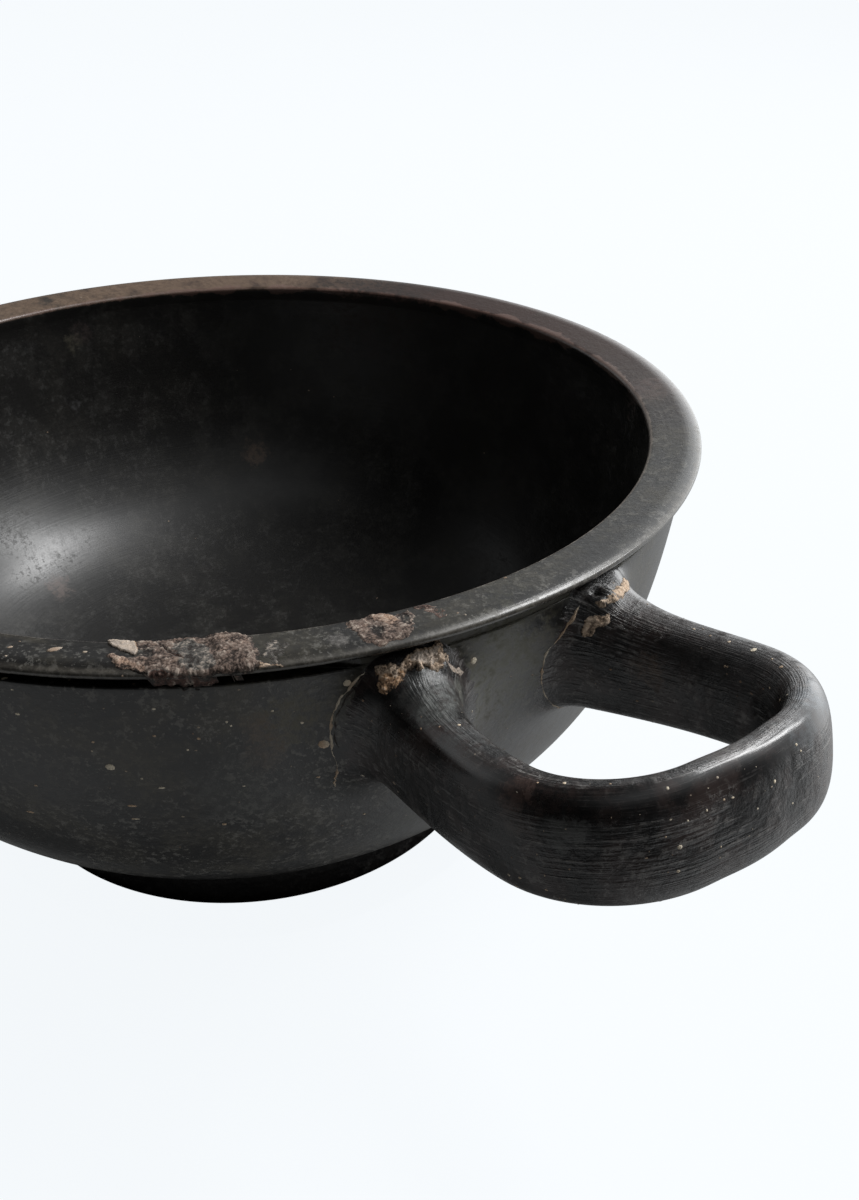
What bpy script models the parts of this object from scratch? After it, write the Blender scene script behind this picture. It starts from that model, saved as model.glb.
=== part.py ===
"""A black-glazed pottery bowl with a flat-topped rim, a ring foot and one strap handle.

Metres, +Z up. The bowl stands on the ground plane and its handle points along +X.
The origin is on the ground under the middle of the whole object, so the bowl's
own axis stands a little behind it, at negative X.
"""

import math

import bmesh
import bpy
from mathutils import Vector, noise
from mathutils.geometry import interpolate_bezier

OBJECT_NAME = "black_glazed_bowl"

# Rim: a flat top that dips inwards, a rounded outer edge and a scraped groove below it
BOWL_HEIGHT = 0.0635
RIM_RADIUS = 0.0700
RIM_WIDTH = 0.0074
RIM_DIP = 0.0011
RIM_EDGE_RADIUS = 0.0009
RIM_THICKNESS = 0.0027
RIM_UNDERCUT = 0.0024
GROOVE_WIDTH = 0.0010
GROOVE_DEPTH = 0.0022

# Wall: its outer face stands back from the rim, leans in a little and then curves under
WALL_SETBACK = 0.0020
WALL_LEAN = 0.0062
WALL_CURVE_POWER = 3.3
WALL_THICKNESS = 0.0050
FLOOR_THICKNESS = 0.0068
FLOOR_START = 0.72

# Ring foot: a concave outer face, a flat resting ring and a shallow hollow under the floor
FOOT_HEIGHT = 0.0089
FOOT_RADIUS = 0.0393
FOOT_WAIST = 0.0008
FOOT_LEDGE = 0.0022
FOOT_RING_WIDTH = 0.0062
FOOT_EDGE = 0.0005
FOOT_HOLLOW_DEPTH = 0.0045
FOOT_HOLLOW_SLOPE = 0.0040

# Handle: the middle line of the strap, from the wall round to the middle of its crossbar
HANDLE_PROJECTION = 0.0317
HANDLE_ARM_SPACING = 0.0343
HANDLE_ROOT_SPACING = 0.0248
HANDLE_CORNER_RADIUS = 0.0124
HANDLE_BOW = 0.0005
HANDLE_BELOW_RIM = 0.0157
HANDLE_RISE = 0.0096
HANDLE_LEAN = math.radians(14.0)

# Strap: an oval section that is thick at the roots and thins to a flat crossbar
STRAP_HEIGHT = 0.0123
STRAP_ARM_THICKNESS = 0.0067
STRAP_BAR_THICKNESS = 0.0048
STRAP_SQUARENESS = 2.6
ROOT_EXTRA_HEIGHT = 0.0100
ROOT_EXTRA_THICKNESS = 0.0120
ROOT_LIFT = 0.0056
ROOT_SPREAD_LENGTH = 0.0063
ROOT_BURIED_LENGTH = 0.0070

# Flakes lost from the top of the rim: azimuth in degrees, width along the rim, and depth
RIM_FLAKES = (
    (-46.9, 0.0030, 0.0004),
    (-42.9, 0.0052, 0.0006),
    (-37.4, 0.0085, 0.0009),
    (-12.6, 0.0120, 0.0008),
)
FLAKE_OFFSET_FROM_EDGE = 0.0034
FLAKE_RADIAL_WIDTH = 0.0044

# Burial crust left on the rim and over the near root: azimuth, width and stand-off as above
RIM_CRUSTS = (
    (-33.4, 0.0120, 0.0004),
    (-26.8, 0.0095, 0.0006),
)
CRUST_RADIAL_WIDTH = 0.0074
ROOT_CRUSTS = ((-11.6, 0.0100, 0.0009),)
ROOT_CRUST_HEIGHT = 0.0038
LUMP_ROUGHNESS = 0.30
LUMP_WAVES = 1.5

# Mesh fineness
TURNED_STEPS = 72
OUTER_WALL_POINTS = 12
INNER_WALL_POINTS = 9
FLOOR_POINTS = 11
EDGE_POINTS = 5
ARC_POINTS = 4
STRAP_POINTS = 16
ARM_RINGS = 11
CORNER_RINGS = 6
BAR_RINGS = 5
MERGE_DISTANCE = 0.00001

# Finish
GLAZE_COLOUR = (0.018, 0.017, 0.016, 1.0)
GLAZE_ROUGHNESS = 0.34
GLAZE_COAT = 0.3

# Places that follow from the sizes above
RIM_UNDERSIDE = BOWL_HEIGHT - RIM_THICKNESS
WALL_TOP = RIM_UNDERSIDE - GROOVE_WIDTH
WALL_TOP_RADIUS = RIM_RADIUS - WALL_SETBACK
WALL_FOOT_RADIUS = FOOT_RADIUS + FOOT_LEDGE
FLOOR_LEVEL = FOOT_HOLLOW_DEPTH + FLOOR_THICKNESS
INNER_EDGE_RADIUS = RIM_RADIUS - RIM_WIDTH
HANDLE_REACH = RIM_RADIUS + HANDLE_PROJECTION


def clear_scene():
    """Removes every object, so that the script can be run again."""
    for obj in list(bpy.data.objects):
        bpy.data.objects.remove(obj, do_unlink=True)


def new_collection(name):
    """Gives a fresh collection linked to the scene."""
    collection = bpy.data.collections.new(name)
    bpy.context.scene.collection.children.link(collection)
    return collection


def new_object(name, mesh, collection):
    """Gives an object that shows a mesh, in a collection."""
    obj = bpy.data.objects.new(name, mesh)
    collection.objects.link(obj)
    return obj


def set_as_cutter(obj):
    """Marks a helper that only shapes the bowl."""
    obj.hide_render = True
    obj.display_type = "WIRE"


def glaze_material():
    """Black glaze, dark and fairly glossy."""
    material = bpy.data.materials.new("black_glaze")
    material.use_nodes = True
    shader = material.node_tree.nodes["Principled BSDF"]
    shader.inputs["Base Color"].default_value = GLAZE_COLOUR
    shader.inputs["Roughness"].default_value = GLAZE_ROUGHNESS
    shader.inputs["Metallic"].default_value = 0.0
    shader.inputs["Coat Weight"].default_value = GLAZE_COAT
    material.diffuse_color = GLAZE_COLOUR
    return material


def arc(centre, radii, start, end, count):
    """Points along part of an ellipse, in degrees, with both ends included."""
    points = []
    for i in range(count + 1):
        angle = math.radians(start + (end - start) * i / count)
        points.append((centre[0] + radii[0] * math.cos(angle), centre[1] + radii[1] * math.sin(angle)))
    return points


def wall_point(share):
    """The wall's outer face, from 0 at its top under the groove to 1 where it meets the foot."""
    curved = WALL_TOP_RADIUS - WALL_FOOT_RADIUS - WALL_LEAN
    radius = WALL_TOP_RADIUS - WALL_LEAN * share - curved * share**WALL_CURVE_POWER
    return Vector((radius, WALL_TOP + (FOOT_HEIGHT - WALL_TOP) * share))


def wall_tangent(share):
    """The direction of the wall's outer face, pointing down it."""
    step = 0.001
    low = max(share - step, 0.0)
    high = min(share + step, 1.0)
    return (wall_point(high) - wall_point(low)).normalized()


def inside_wall(share, distance):
    """A point at a distance behind the wall's outer face, measured square to it."""
    down = wall_tangent(share)
    return wall_point(share) + Vector((down.y, -down.x)) * distance


def wall_shares(last, count):
    """Shares of the wall's height, closer together where the wall curves under."""
    return [last * (i / count) ** 0.7 for i in range(1, count + 1)]


def inner_profile():
    """From the middle of the floor inside, outwards and up to the rim's inner edge."""
    shares = wall_shares(FLOOR_START, INNER_WALL_POINTS)
    wall = [inside_wall(share, WALL_THICKNESS) for share in shares]
    start = wall[-1].to_3d()
    downwards = wall_tangent(FLOOR_START).to_3d()
    reach = (start.y - FLOOR_LEVEL) / -downwards.y
    floor = interpolate_bezier(
        start,
        start + downwards * reach * 0.65,
        Vector((start.x * 0.50, FLOOR_LEVEL, 0.0)),
        Vector((0.0, FLOOR_LEVEL, 0.0)),
        FLOOR_POINTS + 1,
    )
    outwards = [(point.x, point.y) for point in reversed(floor)]
    upwards = [(point.x, point.y) for point in reversed(wall[:-1])]
    return outwards + upwards + [(INNER_EDGE_RADIUS, BOWL_HEIGHT - RIM_DIP)]


def rim_profile():
    """The rim's top, its rounded outer edge, its underside and the groove."""
    centre = (RIM_RADIUS - RIM_EDGE_RADIUS, BOWL_HEIGHT - RIM_EDGE_RADIUS)
    edge = arc(centre, (RIM_EDGE_RADIUS, RIM_EDGE_RADIUS), 90, -60, EDGE_POINTS)
    underside = [(RIM_RADIUS - RIM_UNDERCUT, RIM_UNDERSIDE)]
    groove_radius = WALL_TOP_RADIUS - GROOVE_DEPTH
    groove = [(groove_radius, RIM_UNDERSIDE), (groove_radius, WALL_TOP - GROOVE_WIDTH * 0.4)]
    return edge + underside + groove


def outer_profile():
    """The wall's outer face and the ring foot, down and in to the middle of the underside."""
    faces = [wall_point(share) for share in [0.0] + wall_shares(1.0, OUTER_WALL_POINTS)]
    wall = [(point.x, point.y) for point in faces]
    waist = FOOT_RADIUS - FOOT_WAIST
    foot = [
        (waist + (WALL_FOOT_RADIUS - waist) * 0.30, FOOT_HEIGHT * 0.88),
        (waist, FOOT_HEIGHT * 0.62),
        (waist + FOOT_WAIST * 0.35, FOOT_HEIGHT * 0.30),
        (FOOT_RADIUS, FOOT_EDGE),
        (FOOT_RADIUS - FOOT_EDGE, 0.0),
        (FOOT_RADIUS - FOOT_RING_WIDTH, 0.0),
    ]
    hollow_radius = FOOT_RADIUS - FOOT_RING_WIDTH - FOOT_HOLLOW_SLOPE
    hollow = arc(
        (hollow_radius, 0.0), (FOOT_HOLLOW_SLOPE, FOOT_HOLLOW_DEPTH), 0, 90, ARC_POINTS
    )
    return wall + foot + hollow[1:] + [(0.0, FOOT_HOLLOW_DEPTH)]


def root_trim_profile():
    """Everything inside the middle of the wall's thickness, which the handle stays out of."""
    depth = WALL_THICKNESS * 0.5
    above = BOWL_HEIGHT + STRAP_HEIGHT
    face = [inside_wall(share, depth) for share in [0.0] + wall_shares(0.9, OUTER_WALL_POINTS)]
    points = [(0.0, above), (face[0].x, above)]
    points += [(point.x, point.y) for point in face]
    return points + [(0.0, face[-1].y)]


def turned_object(name, profile, collection, axis_x):
    """A solid turned about the bowl's axis from a profile of radius and height."""
    mesh = bpy.data.meshes.new(name)
    points = [(radius, 0.0, height) for radius, height in profile]
    mesh.from_pydata(points, [(i, i + 1) for i in range(len(points) - 1)], [])
    obj = new_object(name, mesh, collection)
    obj.location.x = axis_x
    screw = obj.modifiers.new("turned", "SCREW")
    screw.axis = "Z"
    screw.angle = 2.0 * math.pi
    screw.steps = TURNED_STEPS
    screw.render_steps = TURNED_STEPS
    screw.use_merge_vertices = True
    screw.merge_threshold = MERGE_DISTANCE
    screw.use_smooth_shade = True
    return obj


def root_flare(x):
    """How much of the root's spread is left at a distance x from the bowl's axis, from 1 to 0."""
    beyond_wall = max(x - INNER_EDGE_RADIUS, 0.0)
    return math.exp(-beyond_wall / ROOT_SPREAD_LENGTH)


def handle_plan():
    """The strap's middle line in plan, from the root at negative Y round to the crossbar's middle."""
    root_x = INNER_EDGE_RADIUS - ROOT_BURIED_LENGTH
    corner_x = HANDLE_REACH - HANDLE_CORNER_RADIUS
    root_y = HANDLE_ROOT_SPACING / 2
    arm_y = HANDLE_ARM_SPACING / 2
    half = []
    for i in range(ARM_RINGS):
        x = root_x + (corner_x - root_x) * i / ARM_RINGS
        spread = max((x - INNER_EDGE_RADIUS) / (corner_x - INNER_EDGE_RADIUS), 0.0)
        half.append((x, -root_y - (arm_y - root_y) * math.sin(0.5 * math.pi * spread)))
    centre_y = arm_y - HANDLE_CORNER_RADIUS
    for x, y in arc((corner_x, centre_y), (HANDLE_CORNER_RADIUS,) * 2, 90, 0, CORNER_RINGS):
        half.append((x, -y))
    for i in range(1, BAR_RINGS):
        y = centre_y * (1.0 - i / BAR_RINGS)
        half.append((HANDLE_REACH + HANDLE_BOW * (1.0 - (y / centre_y) ** 2), -y))
    middle = [(HANDLE_REACH + HANDLE_BOW, 0.0)]
    return half + middle + [(x, -y) for x, y in reversed(half)]


def strap_middle_and_half_height(x):
    """The strap's middle height and half its own height at a distance x from the bowl's axis.

    The strap rises outwards. Next to the wall its top is held just under the groove.
    """
    upright = math.cos(HANDLE_LEAN)
    share = (x - INNER_EDGE_RADIUS) / (HANDLE_REACH - INNER_EDGE_RADIUS)
    middle = BOWL_HEIGHT - HANDLE_BELOW_RIM + HANDLE_RISE * share + ROOT_LIFT * root_flare(x)
    half_height = upright * (STRAP_HEIGHT + ROOT_EXTRA_HEIGHT * root_flare(x)) / 2
    top = middle + half_height
    bottom = middle - half_height
    if x < RIM_RADIUS:
        top = min(top, WALL_TOP)
    return (top + bottom) / 2, (top - bottom) / 2 / upright


def strap_half_thickness(x):
    """Half the strap's thickness at a distance x from the bowl's axis."""
    bar_start = HANDLE_REACH - HANDLE_CORNER_RADIUS
    on_bar = min(max((x - bar_start) / HANDLE_CORNER_RADIUS, 0.0), 1.0)
    thickness = STRAP_ARM_THICKNESS + (STRAP_BAR_THICKNESS - STRAP_ARM_THICKNESS) * on_bar
    return (thickness + ROOT_EXTRA_THICKNESS * root_flare(x)) / 2


def strap_rings():
    """The strap's oval cross-sections along its middle line, as points about the bowl's axis."""
    centres = [Vector((x, y, strap_middle_and_half_height(x)[0])) for x, y in handle_plan()]
    leaning_up = Vector((-math.sin(HANDLE_LEAN), 0.0, math.cos(HANDLE_LEAN)))
    rings = []
    for i, centre in enumerate(centres):
        before = centres[max(i - 1, 0)]
        after = centres[min(i + 1, len(centres) - 1)]
        along = (after - before).normalized()
        upwards = (leaning_up - along * leaning_up.dot(along)).normalized()
        outwards = along.cross(upwards)
        half_thickness = strap_half_thickness(centre.x)
        half_height = strap_middle_and_half_height(centre.x)[1]
        ring = []
        for k in range(STRAP_POINTS):
            angle = 2.0 * math.pi * (k + 0.5) / STRAP_POINTS
            side = oval_share(math.cos(angle)) * half_thickness
            height = oval_share(math.sin(angle)) * half_height
            ring.append(centre + outwards * side + upwards * height)
        rings.append(ring)
    return rings


def oval_share(value):
    """Squares up a circle's sine or cosine, so that the section is an oval with flat faces."""
    return math.copysign(abs(value) ** (2.0 / STRAP_SQUARENESS), value)


def loft_object(name, rings, collection, axis_x):
    """A closed solid skinned over unlike cross-sections, which no curve bevel would give."""
    work = bmesh.new()
    skin = [[work.verts.new(point) for point in ring] for ring in rings]
    count = len(rings[0])
    for near, far in zip(skin, skin[1:]):
        for k in range(count):
            work.faces.new((near[k], near[(k + 1) % count], far[(k + 1) % count], far[k]))
    work.faces.new(list(reversed(skin[0])))
    work.faces.new(skin[-1])
    bmesh.ops.recalc_face_normals(work, faces=work.faces)
    mesh = bpy.data.meshes.new(name)
    work.to_mesh(mesh)
    work.free()
    obj = new_object(name, mesh, collection)
    obj.location.x = axis_x
    return obj


def rough_lump(name, place, azimuth, half_sizes, collection):
    """A low uneven lump, for a crust or for the hollow of a lost flake."""
    work = bmesh.new()
    bmesh.ops.create_icosphere(work, subdivisions=2, radius=1.0)
    for vertex in work.verts:
        swell = noise.noise(vertex.co * LUMP_WAVES + Vector((azimuth, 0.0, 0.0)))
        vertex.co *= 1.0 + LUMP_ROUGHNESS * swell
        vertex.co = Vector((a * b for a, b in zip(vertex.co, half_sizes)))
    mesh = bpy.data.meshes.new(name)
    work.to_mesh(mesh)
    work.free()
    obj = new_object(name, mesh, collection)
    obj.location = place
    obj.rotation_euler.z = math.radians(azimuth)
    return obj


def around_axis(axis_x, azimuth, radius, height):
    """A place given by its azimuth and radius about the bowl's axis."""
    angle = math.radians(azimuth)
    return Vector((axis_x + radius * math.cos(angle), radius * math.sin(angle), height))


def rim_flakes(axis_x, collection):
    """Cutters for the flakes lost from the rim's flat top, each as deep as stated."""
    flakes = []
    radius = RIM_RADIUS - FLAKE_OFFSET_FROM_EDGE
    for i, (azimuth, width, depth) in enumerate(RIM_FLAKES):
        half_sizes = (FLAKE_RADIAL_WIDTH / 2, width / 2, depth * 2.0)
        place = around_axis(axis_x, azimuth, radius, BOWL_HEIGHT - RIM_DIP * 0.5 + depth)
        flakes.append(rough_lump(f"rim_flake_{i + 1}", place, azimuth, half_sizes, collection))
    return flakes


def crust_lumps(axis_x, collection):
    """Lumps for the crust that lies on the rim and that fills the groove over the near root."""
    lumps = []
    half_height = RIM_THICKNESS / 2
    for i, (azimuth, width, stand) in enumerate(RIM_CRUSTS):
        top = BOWL_HEIGHT - RIM_DIP * 0.5 + stand
        place = around_axis(axis_x, azimuth, RIM_RADIUS - RIM_WIDTH / 2, top - half_height)
        half_sizes = (CRUST_RADIAL_WIDTH / 2, width / 2, half_height)
        lumps.append(rough_lump(f"rim_crust_{i + 1}", place, azimuth, half_sizes, collection))
    half_depth = (WALL_SETBACK + WALL_THICKNESS) / 2
    for i, (azimuth, width, stand) in enumerate(ROOT_CRUSTS):
        radius = WALL_TOP_RADIUS + stand - half_depth
        place = around_axis(axis_x, azimuth, radius, WALL_TOP)
        half_sizes = (half_depth, width / 2, ROOT_CRUST_HEIGHT / 2)
        lumps.append(rough_lump(f"root_crust_{i + 1}", place, azimuth, half_sizes, collection))
    return lumps


def add_boolean(obj, other, operation):
    """Joins another solid to an object, or cuts it away."""
    modifier = obj.modifiers.new(f"{operation.lower()}_{other.name}", "BOOLEAN")
    modifier.operation = operation
    modifier.solver = "EXACT"
    modifier.object = other
    set_as_cutter(other)


def build_bowl():
    """The whole vessel as one solid: turned bowl, joined handle, crusts, then lost flakes."""
    parts = new_collection(OBJECT_NAME)
    cutters = new_collection("cutters")
    rings = strap_rings()
    farthest = max(point.x for ring in rings for point in ring)
    axis_x = (RIM_RADIUS - farthest) / 2

    profile = inner_profile() + rim_profile() + outer_profile()
    bowl = turned_object(OBJECT_NAME, profile, parts, axis_x)
    bowl.data.materials.append(glaze_material())

    trim = turned_object("root_trim", root_trim_profile(), cutters, axis_x)
    handle = loft_object("handle_strap", rings, cutters, axis_x)
    handle.data.shade_smooth()
    add_boolean(handle, trim, "DIFFERENCE")
    add_boolean(bowl, handle, "UNION")
    for lump in crust_lumps(axis_x, cutters):
        add_boolean(bowl, lump, "UNION")
    for flake in rim_flakes(axis_x, cutters):
        add_boolean(bowl, flake, "DIFFERENCE")
    return bowl


def main():
    """Builds the bowl in an emptied scene."""
    clear_scene()
    build_bowl()


main()
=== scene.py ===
"""Looks for a black-glazed pottery bowl with a flat-topped rim, a ring foot and one strap handle.

Metres, +Z up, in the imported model's own frame. The handle points along +X, and the bowl's
own axis stands a little behind the origin, at negative X.
"""

import logging
import math
from dataclasses import dataclass, field
from enum import Enum
from typing import Any

import bmesh
import bpy
import numpy as np
from bpy.types import ColorRamp, ID, Material, Mesh, Node, NodeSocket, NodeTree, Object
from mathutils import Matrix, Vector
from mathutils.bvhtree import BVHTree
from mathutils.geometry import interpolate_bezier


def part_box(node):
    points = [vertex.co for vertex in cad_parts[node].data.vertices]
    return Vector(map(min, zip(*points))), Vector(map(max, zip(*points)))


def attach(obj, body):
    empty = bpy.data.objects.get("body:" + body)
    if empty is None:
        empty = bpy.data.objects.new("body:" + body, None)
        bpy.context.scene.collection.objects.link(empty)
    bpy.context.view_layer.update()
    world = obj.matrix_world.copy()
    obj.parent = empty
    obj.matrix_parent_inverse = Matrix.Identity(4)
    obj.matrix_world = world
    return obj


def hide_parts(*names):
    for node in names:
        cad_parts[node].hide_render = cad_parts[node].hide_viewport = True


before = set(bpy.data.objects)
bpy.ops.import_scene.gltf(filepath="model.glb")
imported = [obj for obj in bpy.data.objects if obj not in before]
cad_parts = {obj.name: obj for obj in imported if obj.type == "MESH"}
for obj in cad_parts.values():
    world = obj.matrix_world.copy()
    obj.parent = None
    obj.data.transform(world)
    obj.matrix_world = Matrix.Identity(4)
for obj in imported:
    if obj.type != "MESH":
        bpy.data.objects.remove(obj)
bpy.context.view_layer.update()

log = logging.getLogger("black_glazed_bowl")

NODE = "black_glazed_bowl"
SURFACE_MAP = "surface"
MM = 0.001

Colour = tuple[float, float, float, float]
Settings = dict[str, Any]
Sockets = dict[int | str, Any]
Profile = list[tuple[float, float]]


def grey(level: float) -> Colour:
    """Gives a neutral colour of one level."""
    return (level, level, level, 1.0)


def direction(azimuth: float, elevation: float) -> tuple[float, float, float]:
    """Gives the direction at an azimuth and an elevation in degrees."""
    flat, steep = math.radians(azimuth), math.radians(elevation)
    return (math.cos(flat) * math.cos(steep), math.sin(flat) * math.cos(steep), math.sin(steep))


def add_object(name: str, data: ID) -> Object:
    """Adds an object to the scene."""
    obj = bpy.data.objects.new(name, data)
    bpy.context.scene.collection.objects.link(obj)
    return obj


def add_mesh(
    name: str, points: Any, edges: Any = (), faces: Any = (), material: Material | None = None
) -> Object:
    """Adds a mesh object to the scene.

    Args:
        name: The object's name.
        points: Its points.
        edges: Its loose edges, as pairs of points' numbers.
        faces: Its faces, as runs of points' numbers.
        material: What it is made of, if anything yet.

    Returns:
        The object.
    """
    mesh = bpy.data.meshes.new(name)
    mesh.from_pydata(points, edges, faces)
    if material is not None:
        mesh.materials.append(material)
    return add_object(name, mesh)


@dataclass(frozen=True)
class Field:
    """A number or vector inside a node tree, with arithmetic that adds Math nodes."""

    bench: "Bench"
    socket: NodeSocket

    def _math(self, operation: str, first: Any, second: Any) -> "Field":
        """Adds one Math node and gives its result."""
        return self.bench.field("ShaderNodeMath", {"operation": operation}, {0: first, 1: second})

    def __add__(self, other: Any) -> "Field":
        """Adds a number or field."""
        return self._math("ADD", self, other)

    def __radd__(self, other: Any) -> "Field":
        """Adds this to a number."""
        return self._math("ADD", other, self)

    def __sub__(self, other: Any) -> "Field":
        """Takes a number or field away."""
        return self._math("SUBTRACT", self, other)

    def __rsub__(self, other: Any) -> "Field":
        """Takes this away from a number."""
        return self._math("SUBTRACT", other, self)

    def __mul__(self, other: Any) -> "Field":
        """Multiplies by a number or field."""
        return self._math("MULTIPLY", self, other)

    def __rmul__(self, other: Any) -> "Field":
        """Multiplies a number by this."""
        return self._math("MULTIPLY", other, self)

    def __truediv__(self, other: Any) -> "Field":
        """Divides by a number or field."""
        return self._math("DIVIDE", self, other)

    def __rtruediv__(self, other: Any) -> "Field":
        """Divides a number by this."""
        return self._math("DIVIDE", other, self)

    def most(self, other: Any) -> "Field":
        """Gives the larger of the two."""
        return self._math("MAXIMUM", self, other)

    def apart(self, other: Any) -> "Field":
        """Gives how far the two lie apart."""
        return (self - other).most(other - self)

    def sine(self) -> "Field":
        """Gives the sine."""
        return self._math("SINE", self, 0.0)

    def cosine(self) -> "Field":
        """Gives the cosine."""
        return self._math("COSINE", self, 0.0)

    def power_of_e(self) -> "Field":
        """Gives e to the power of this."""
        return self._math("EXPONENT", self, 0.0)

    def whole(self) -> "Field":
        """Rounds down."""
        return self._math("FLOOR", self, 0.0)

    def step(self, low: float, high: float) -> "Field":
        """Rises smoothly from 0 at low to 1 at high, or falls where high is the smaller.

        Args:
            low: The value that gives 0.
            high: The value that gives 1.

        Returns:
            The eased share.
        """
        start, end, near, far = (low, high, 0.0, 1.0) if low < high else (high, low, 1.0, 0.0)
        return self.bench.field(
            "ShaderNodeMapRange",
            {"interpolation_type": "SMOOTHSTEP"},
            {"Value": self, "From Min": start, "From Max": end, "To Min": near, "To Max": far},
        )


class Bench:
    """Adds nodes to one tree and joins them up."""

    def __init__(self, tree: NodeTree) -> None:
        """Keeps the tree that the nodes go into."""
        self.tree = tree

    def node(self, kind: str, settings: Settings | None = None, sockets: Sockets | None = None) -> Node:
        """Adds a node.

        Args:
            kind: The node's type.
            settings: Its own settings, set first; "stops" holds a ramp's places and colours.
            sockets: Values or fields for its inputs, by name or number.

        Returns:
            The node.
        """
        node = self.tree.nodes.new(kind)
        for name, value in (settings or {}).items():
            if name == "stops":
                self._set_stops(node.color_ramp, value)
            else:
                setattr(node, name, value)
        self.fill(node, sockets or {})
        return node

    def fill(self, node: Node, sockets: Sockets) -> None:
        """Gives a node's inputs their values, or joins fields to them."""
        for key, value in sockets.items():
            if isinstance(value, Field):
                self.tree.links.new(value.socket, node.inputs[key])
            else:
                node.inputs[key].default_value = value

    @staticmethod
    def _set_stops(ramp: ColorRamp, stops: list[tuple[float, Colour]]) -> None:
        """Gives a ramp its places and colours."""
        while len(ramp.elements) < len(stops):
            ramp.elements.new(1.0)
        for element, (place, colour) in zip(ramp.elements, stops):
            element.position = place
            element.color = colour

    def field(
        self,
        kind: str,
        settings: Settings | None = None,
        sockets: Sockets | None = None,
        output: int | str = 0,
    ) -> Field:
        """Adds a node and gives one of its outputs as a field.

        Args:
            kind: The node's type.
            settings: Its own settings.
            sockets: What goes into its inputs.
            output: The output's name or number.

        Returns:
            The output.
        """
        return Field(self, self.node(kind, settings, sockets).outputs[output])

    def noise(self, place: Field, size: float, detail: float = 2.0, rough: float = 0.5) -> Field:
        """Gives cloudy noise from 0 to 1.

        Args:
            place: The coordinates, in metres.
            size: How wide one cloud is, in metres.
            detail: How many finer layers it has.
            rough: How strong those layers are.

        Returns:
            The noise.
        """
        sockets = {"Vector": place, "Scale": 1.0 / size, "Detail": detail, "Roughness": rough}
        return self.field("ShaderNodeTexNoise", {}, sockets)

    def mix(self, share: Any, under: Any, over: Any) -> Field:
        """Lays one colour over another.

        Args:
            share: How much of the upper colour shows, from 0 to 1.
            under: The lower colour.
            over: The upper colour.

        Returns:
            The mixed colour.
        """
        settings = {"data_type": "RGBA", "clamp_factor": True}
        return self.field("ShaderNodeMix", settings, {0: share, 6: under, 7: over}, 2)

    def attribute(self, name: str) -> Field:
        """Reads a number that the mesh carries, in a material."""
        return self.field("ShaderNodeAttribute", {"attribute_name": name}, {}, "Fac")

    def carried(self, name: str, kind: str = "FLOAT") -> Field:
        """Reads what each point carries, in a geometry tree."""
        return self.field("GeometryNodeInputNamedAttribute", {"data_type": kind}, {"Name": name})

    def place(self) -> Field:
        """Gives the place that is shaded."""
        return self.field("ShaderNodeTexCoord", {}, {}, "Object")

    def surface(self) -> Field:
        """Gives where it lies on the surface map, in metres."""
        return self.field("ShaderNodeUVMap", {"uv_map": SURFACE_MAP})

    def split(self, vector: Field) -> tuple[Field, ...]:
        """Gives a vector's three parts."""
        parts = self.node("ShaderNodeSeparateXYZ", {}, {0: vector}).outputs
        return tuple(Field(self, part) for part in parts)

    def vector(self, *parts: Any) -> Field:
        """Joins parts into a vector."""
        return self.field("ShaderNodeCombineXYZ", {}, dict(enumerate(parts)))

    def streaks(self, surface: Field, along: float, across: float, detail: float, rough: float) -> Field:
        """Gives noise that is drawn out along the surface map.

        Args:
            surface: The place on the map.
            along: How many swells there are along each metre.
            across: How many there are across each metre.
            detail: How many finer layers it has.
            rough: How strong those layers are.

        Returns:
            The noise.
        """
        sockets = {0: surface, 1: (along, across, 0.0)}
        stretched = self.field("ShaderNodeVectorMath", {"operation": "MULTIPLY"}, sockets)
        return self.noise(stretched, 1.0, detail, rough)

    def finished(self, geometry: Field, material: Field) -> NodeTree:
        """Ends a geometry tree with a smooth and real mesh that has its material."""
        smooth = self.field("GeometryNodeSetShadeSmooth", {}, {"Geometry": geometry})
        real = self.field("GeometryNodeRealizeInstances", {}, {"Geometry": smooth})
        done = self.field("GeometryNodeSetMaterial", {}, {"Geometry": real, "Material": material})
        self.node("NodeGroupOutput", {}, {0: done})
        return self.tree

    def bump(self, height: Field, depth: float, under: Field | None = None) -> Field:
        """Gives a normal that is roughened by a height.

        Args:
            height: The relief, from 0 to 1.
            depth: How deep the relief is, in metres.
            under: A normal from a coarser relief, if any.

        Returns:
            The normal.
        """
        sockets: Sockets = {"Strength": 1.0, "Distance": depth, "Height": height}
        if under is not None:
            sockets["Normal"] = under
        return self.field("ShaderNodeBump", {}, sockets)


def new_material(name: str) -> tuple[Material, Bench, Node]:
    """Starts a material.

    Args:
        name: The material's name.

    Returns:
        The material, a bench on its tree, and its shader node.
    """
    material = bpy.data.materials.new(name)
    material.use_nodes = True
    return material, Bench(material.node_tree), material.node_tree.nodes["Principled BSDF"]


def new_tree(name: str, inputs: dict[str, str]) -> tuple[Bench, dict[str, Field]]:
    """Starts a geometry tree.

    Args:
        name: The tree's name.
        inputs: The kind of each input that follows the geometry, by name.

    Returns:
        A bench on the tree, and all its inputs by name.
    """
    tree = bpy.data.node_groups.new(name, "GeometryNodeTree")
    for label, kind in {"Geometry": "Geometry", **inputs}.items():
        tree.interface.new_socket(label, in_out="INPUT", socket_type="NodeSocket" + kind)
    tree.interface.new_socket("Geometry", in_out="OUTPUT", socket_type="NodeSocketGeometry")
    bench = Bench(tree)
    given = bench.node("NodeGroupInput").outputs
    return bench, {label: Field(bench, given[label]) for label in ("Geometry", *inputs)}


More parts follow.
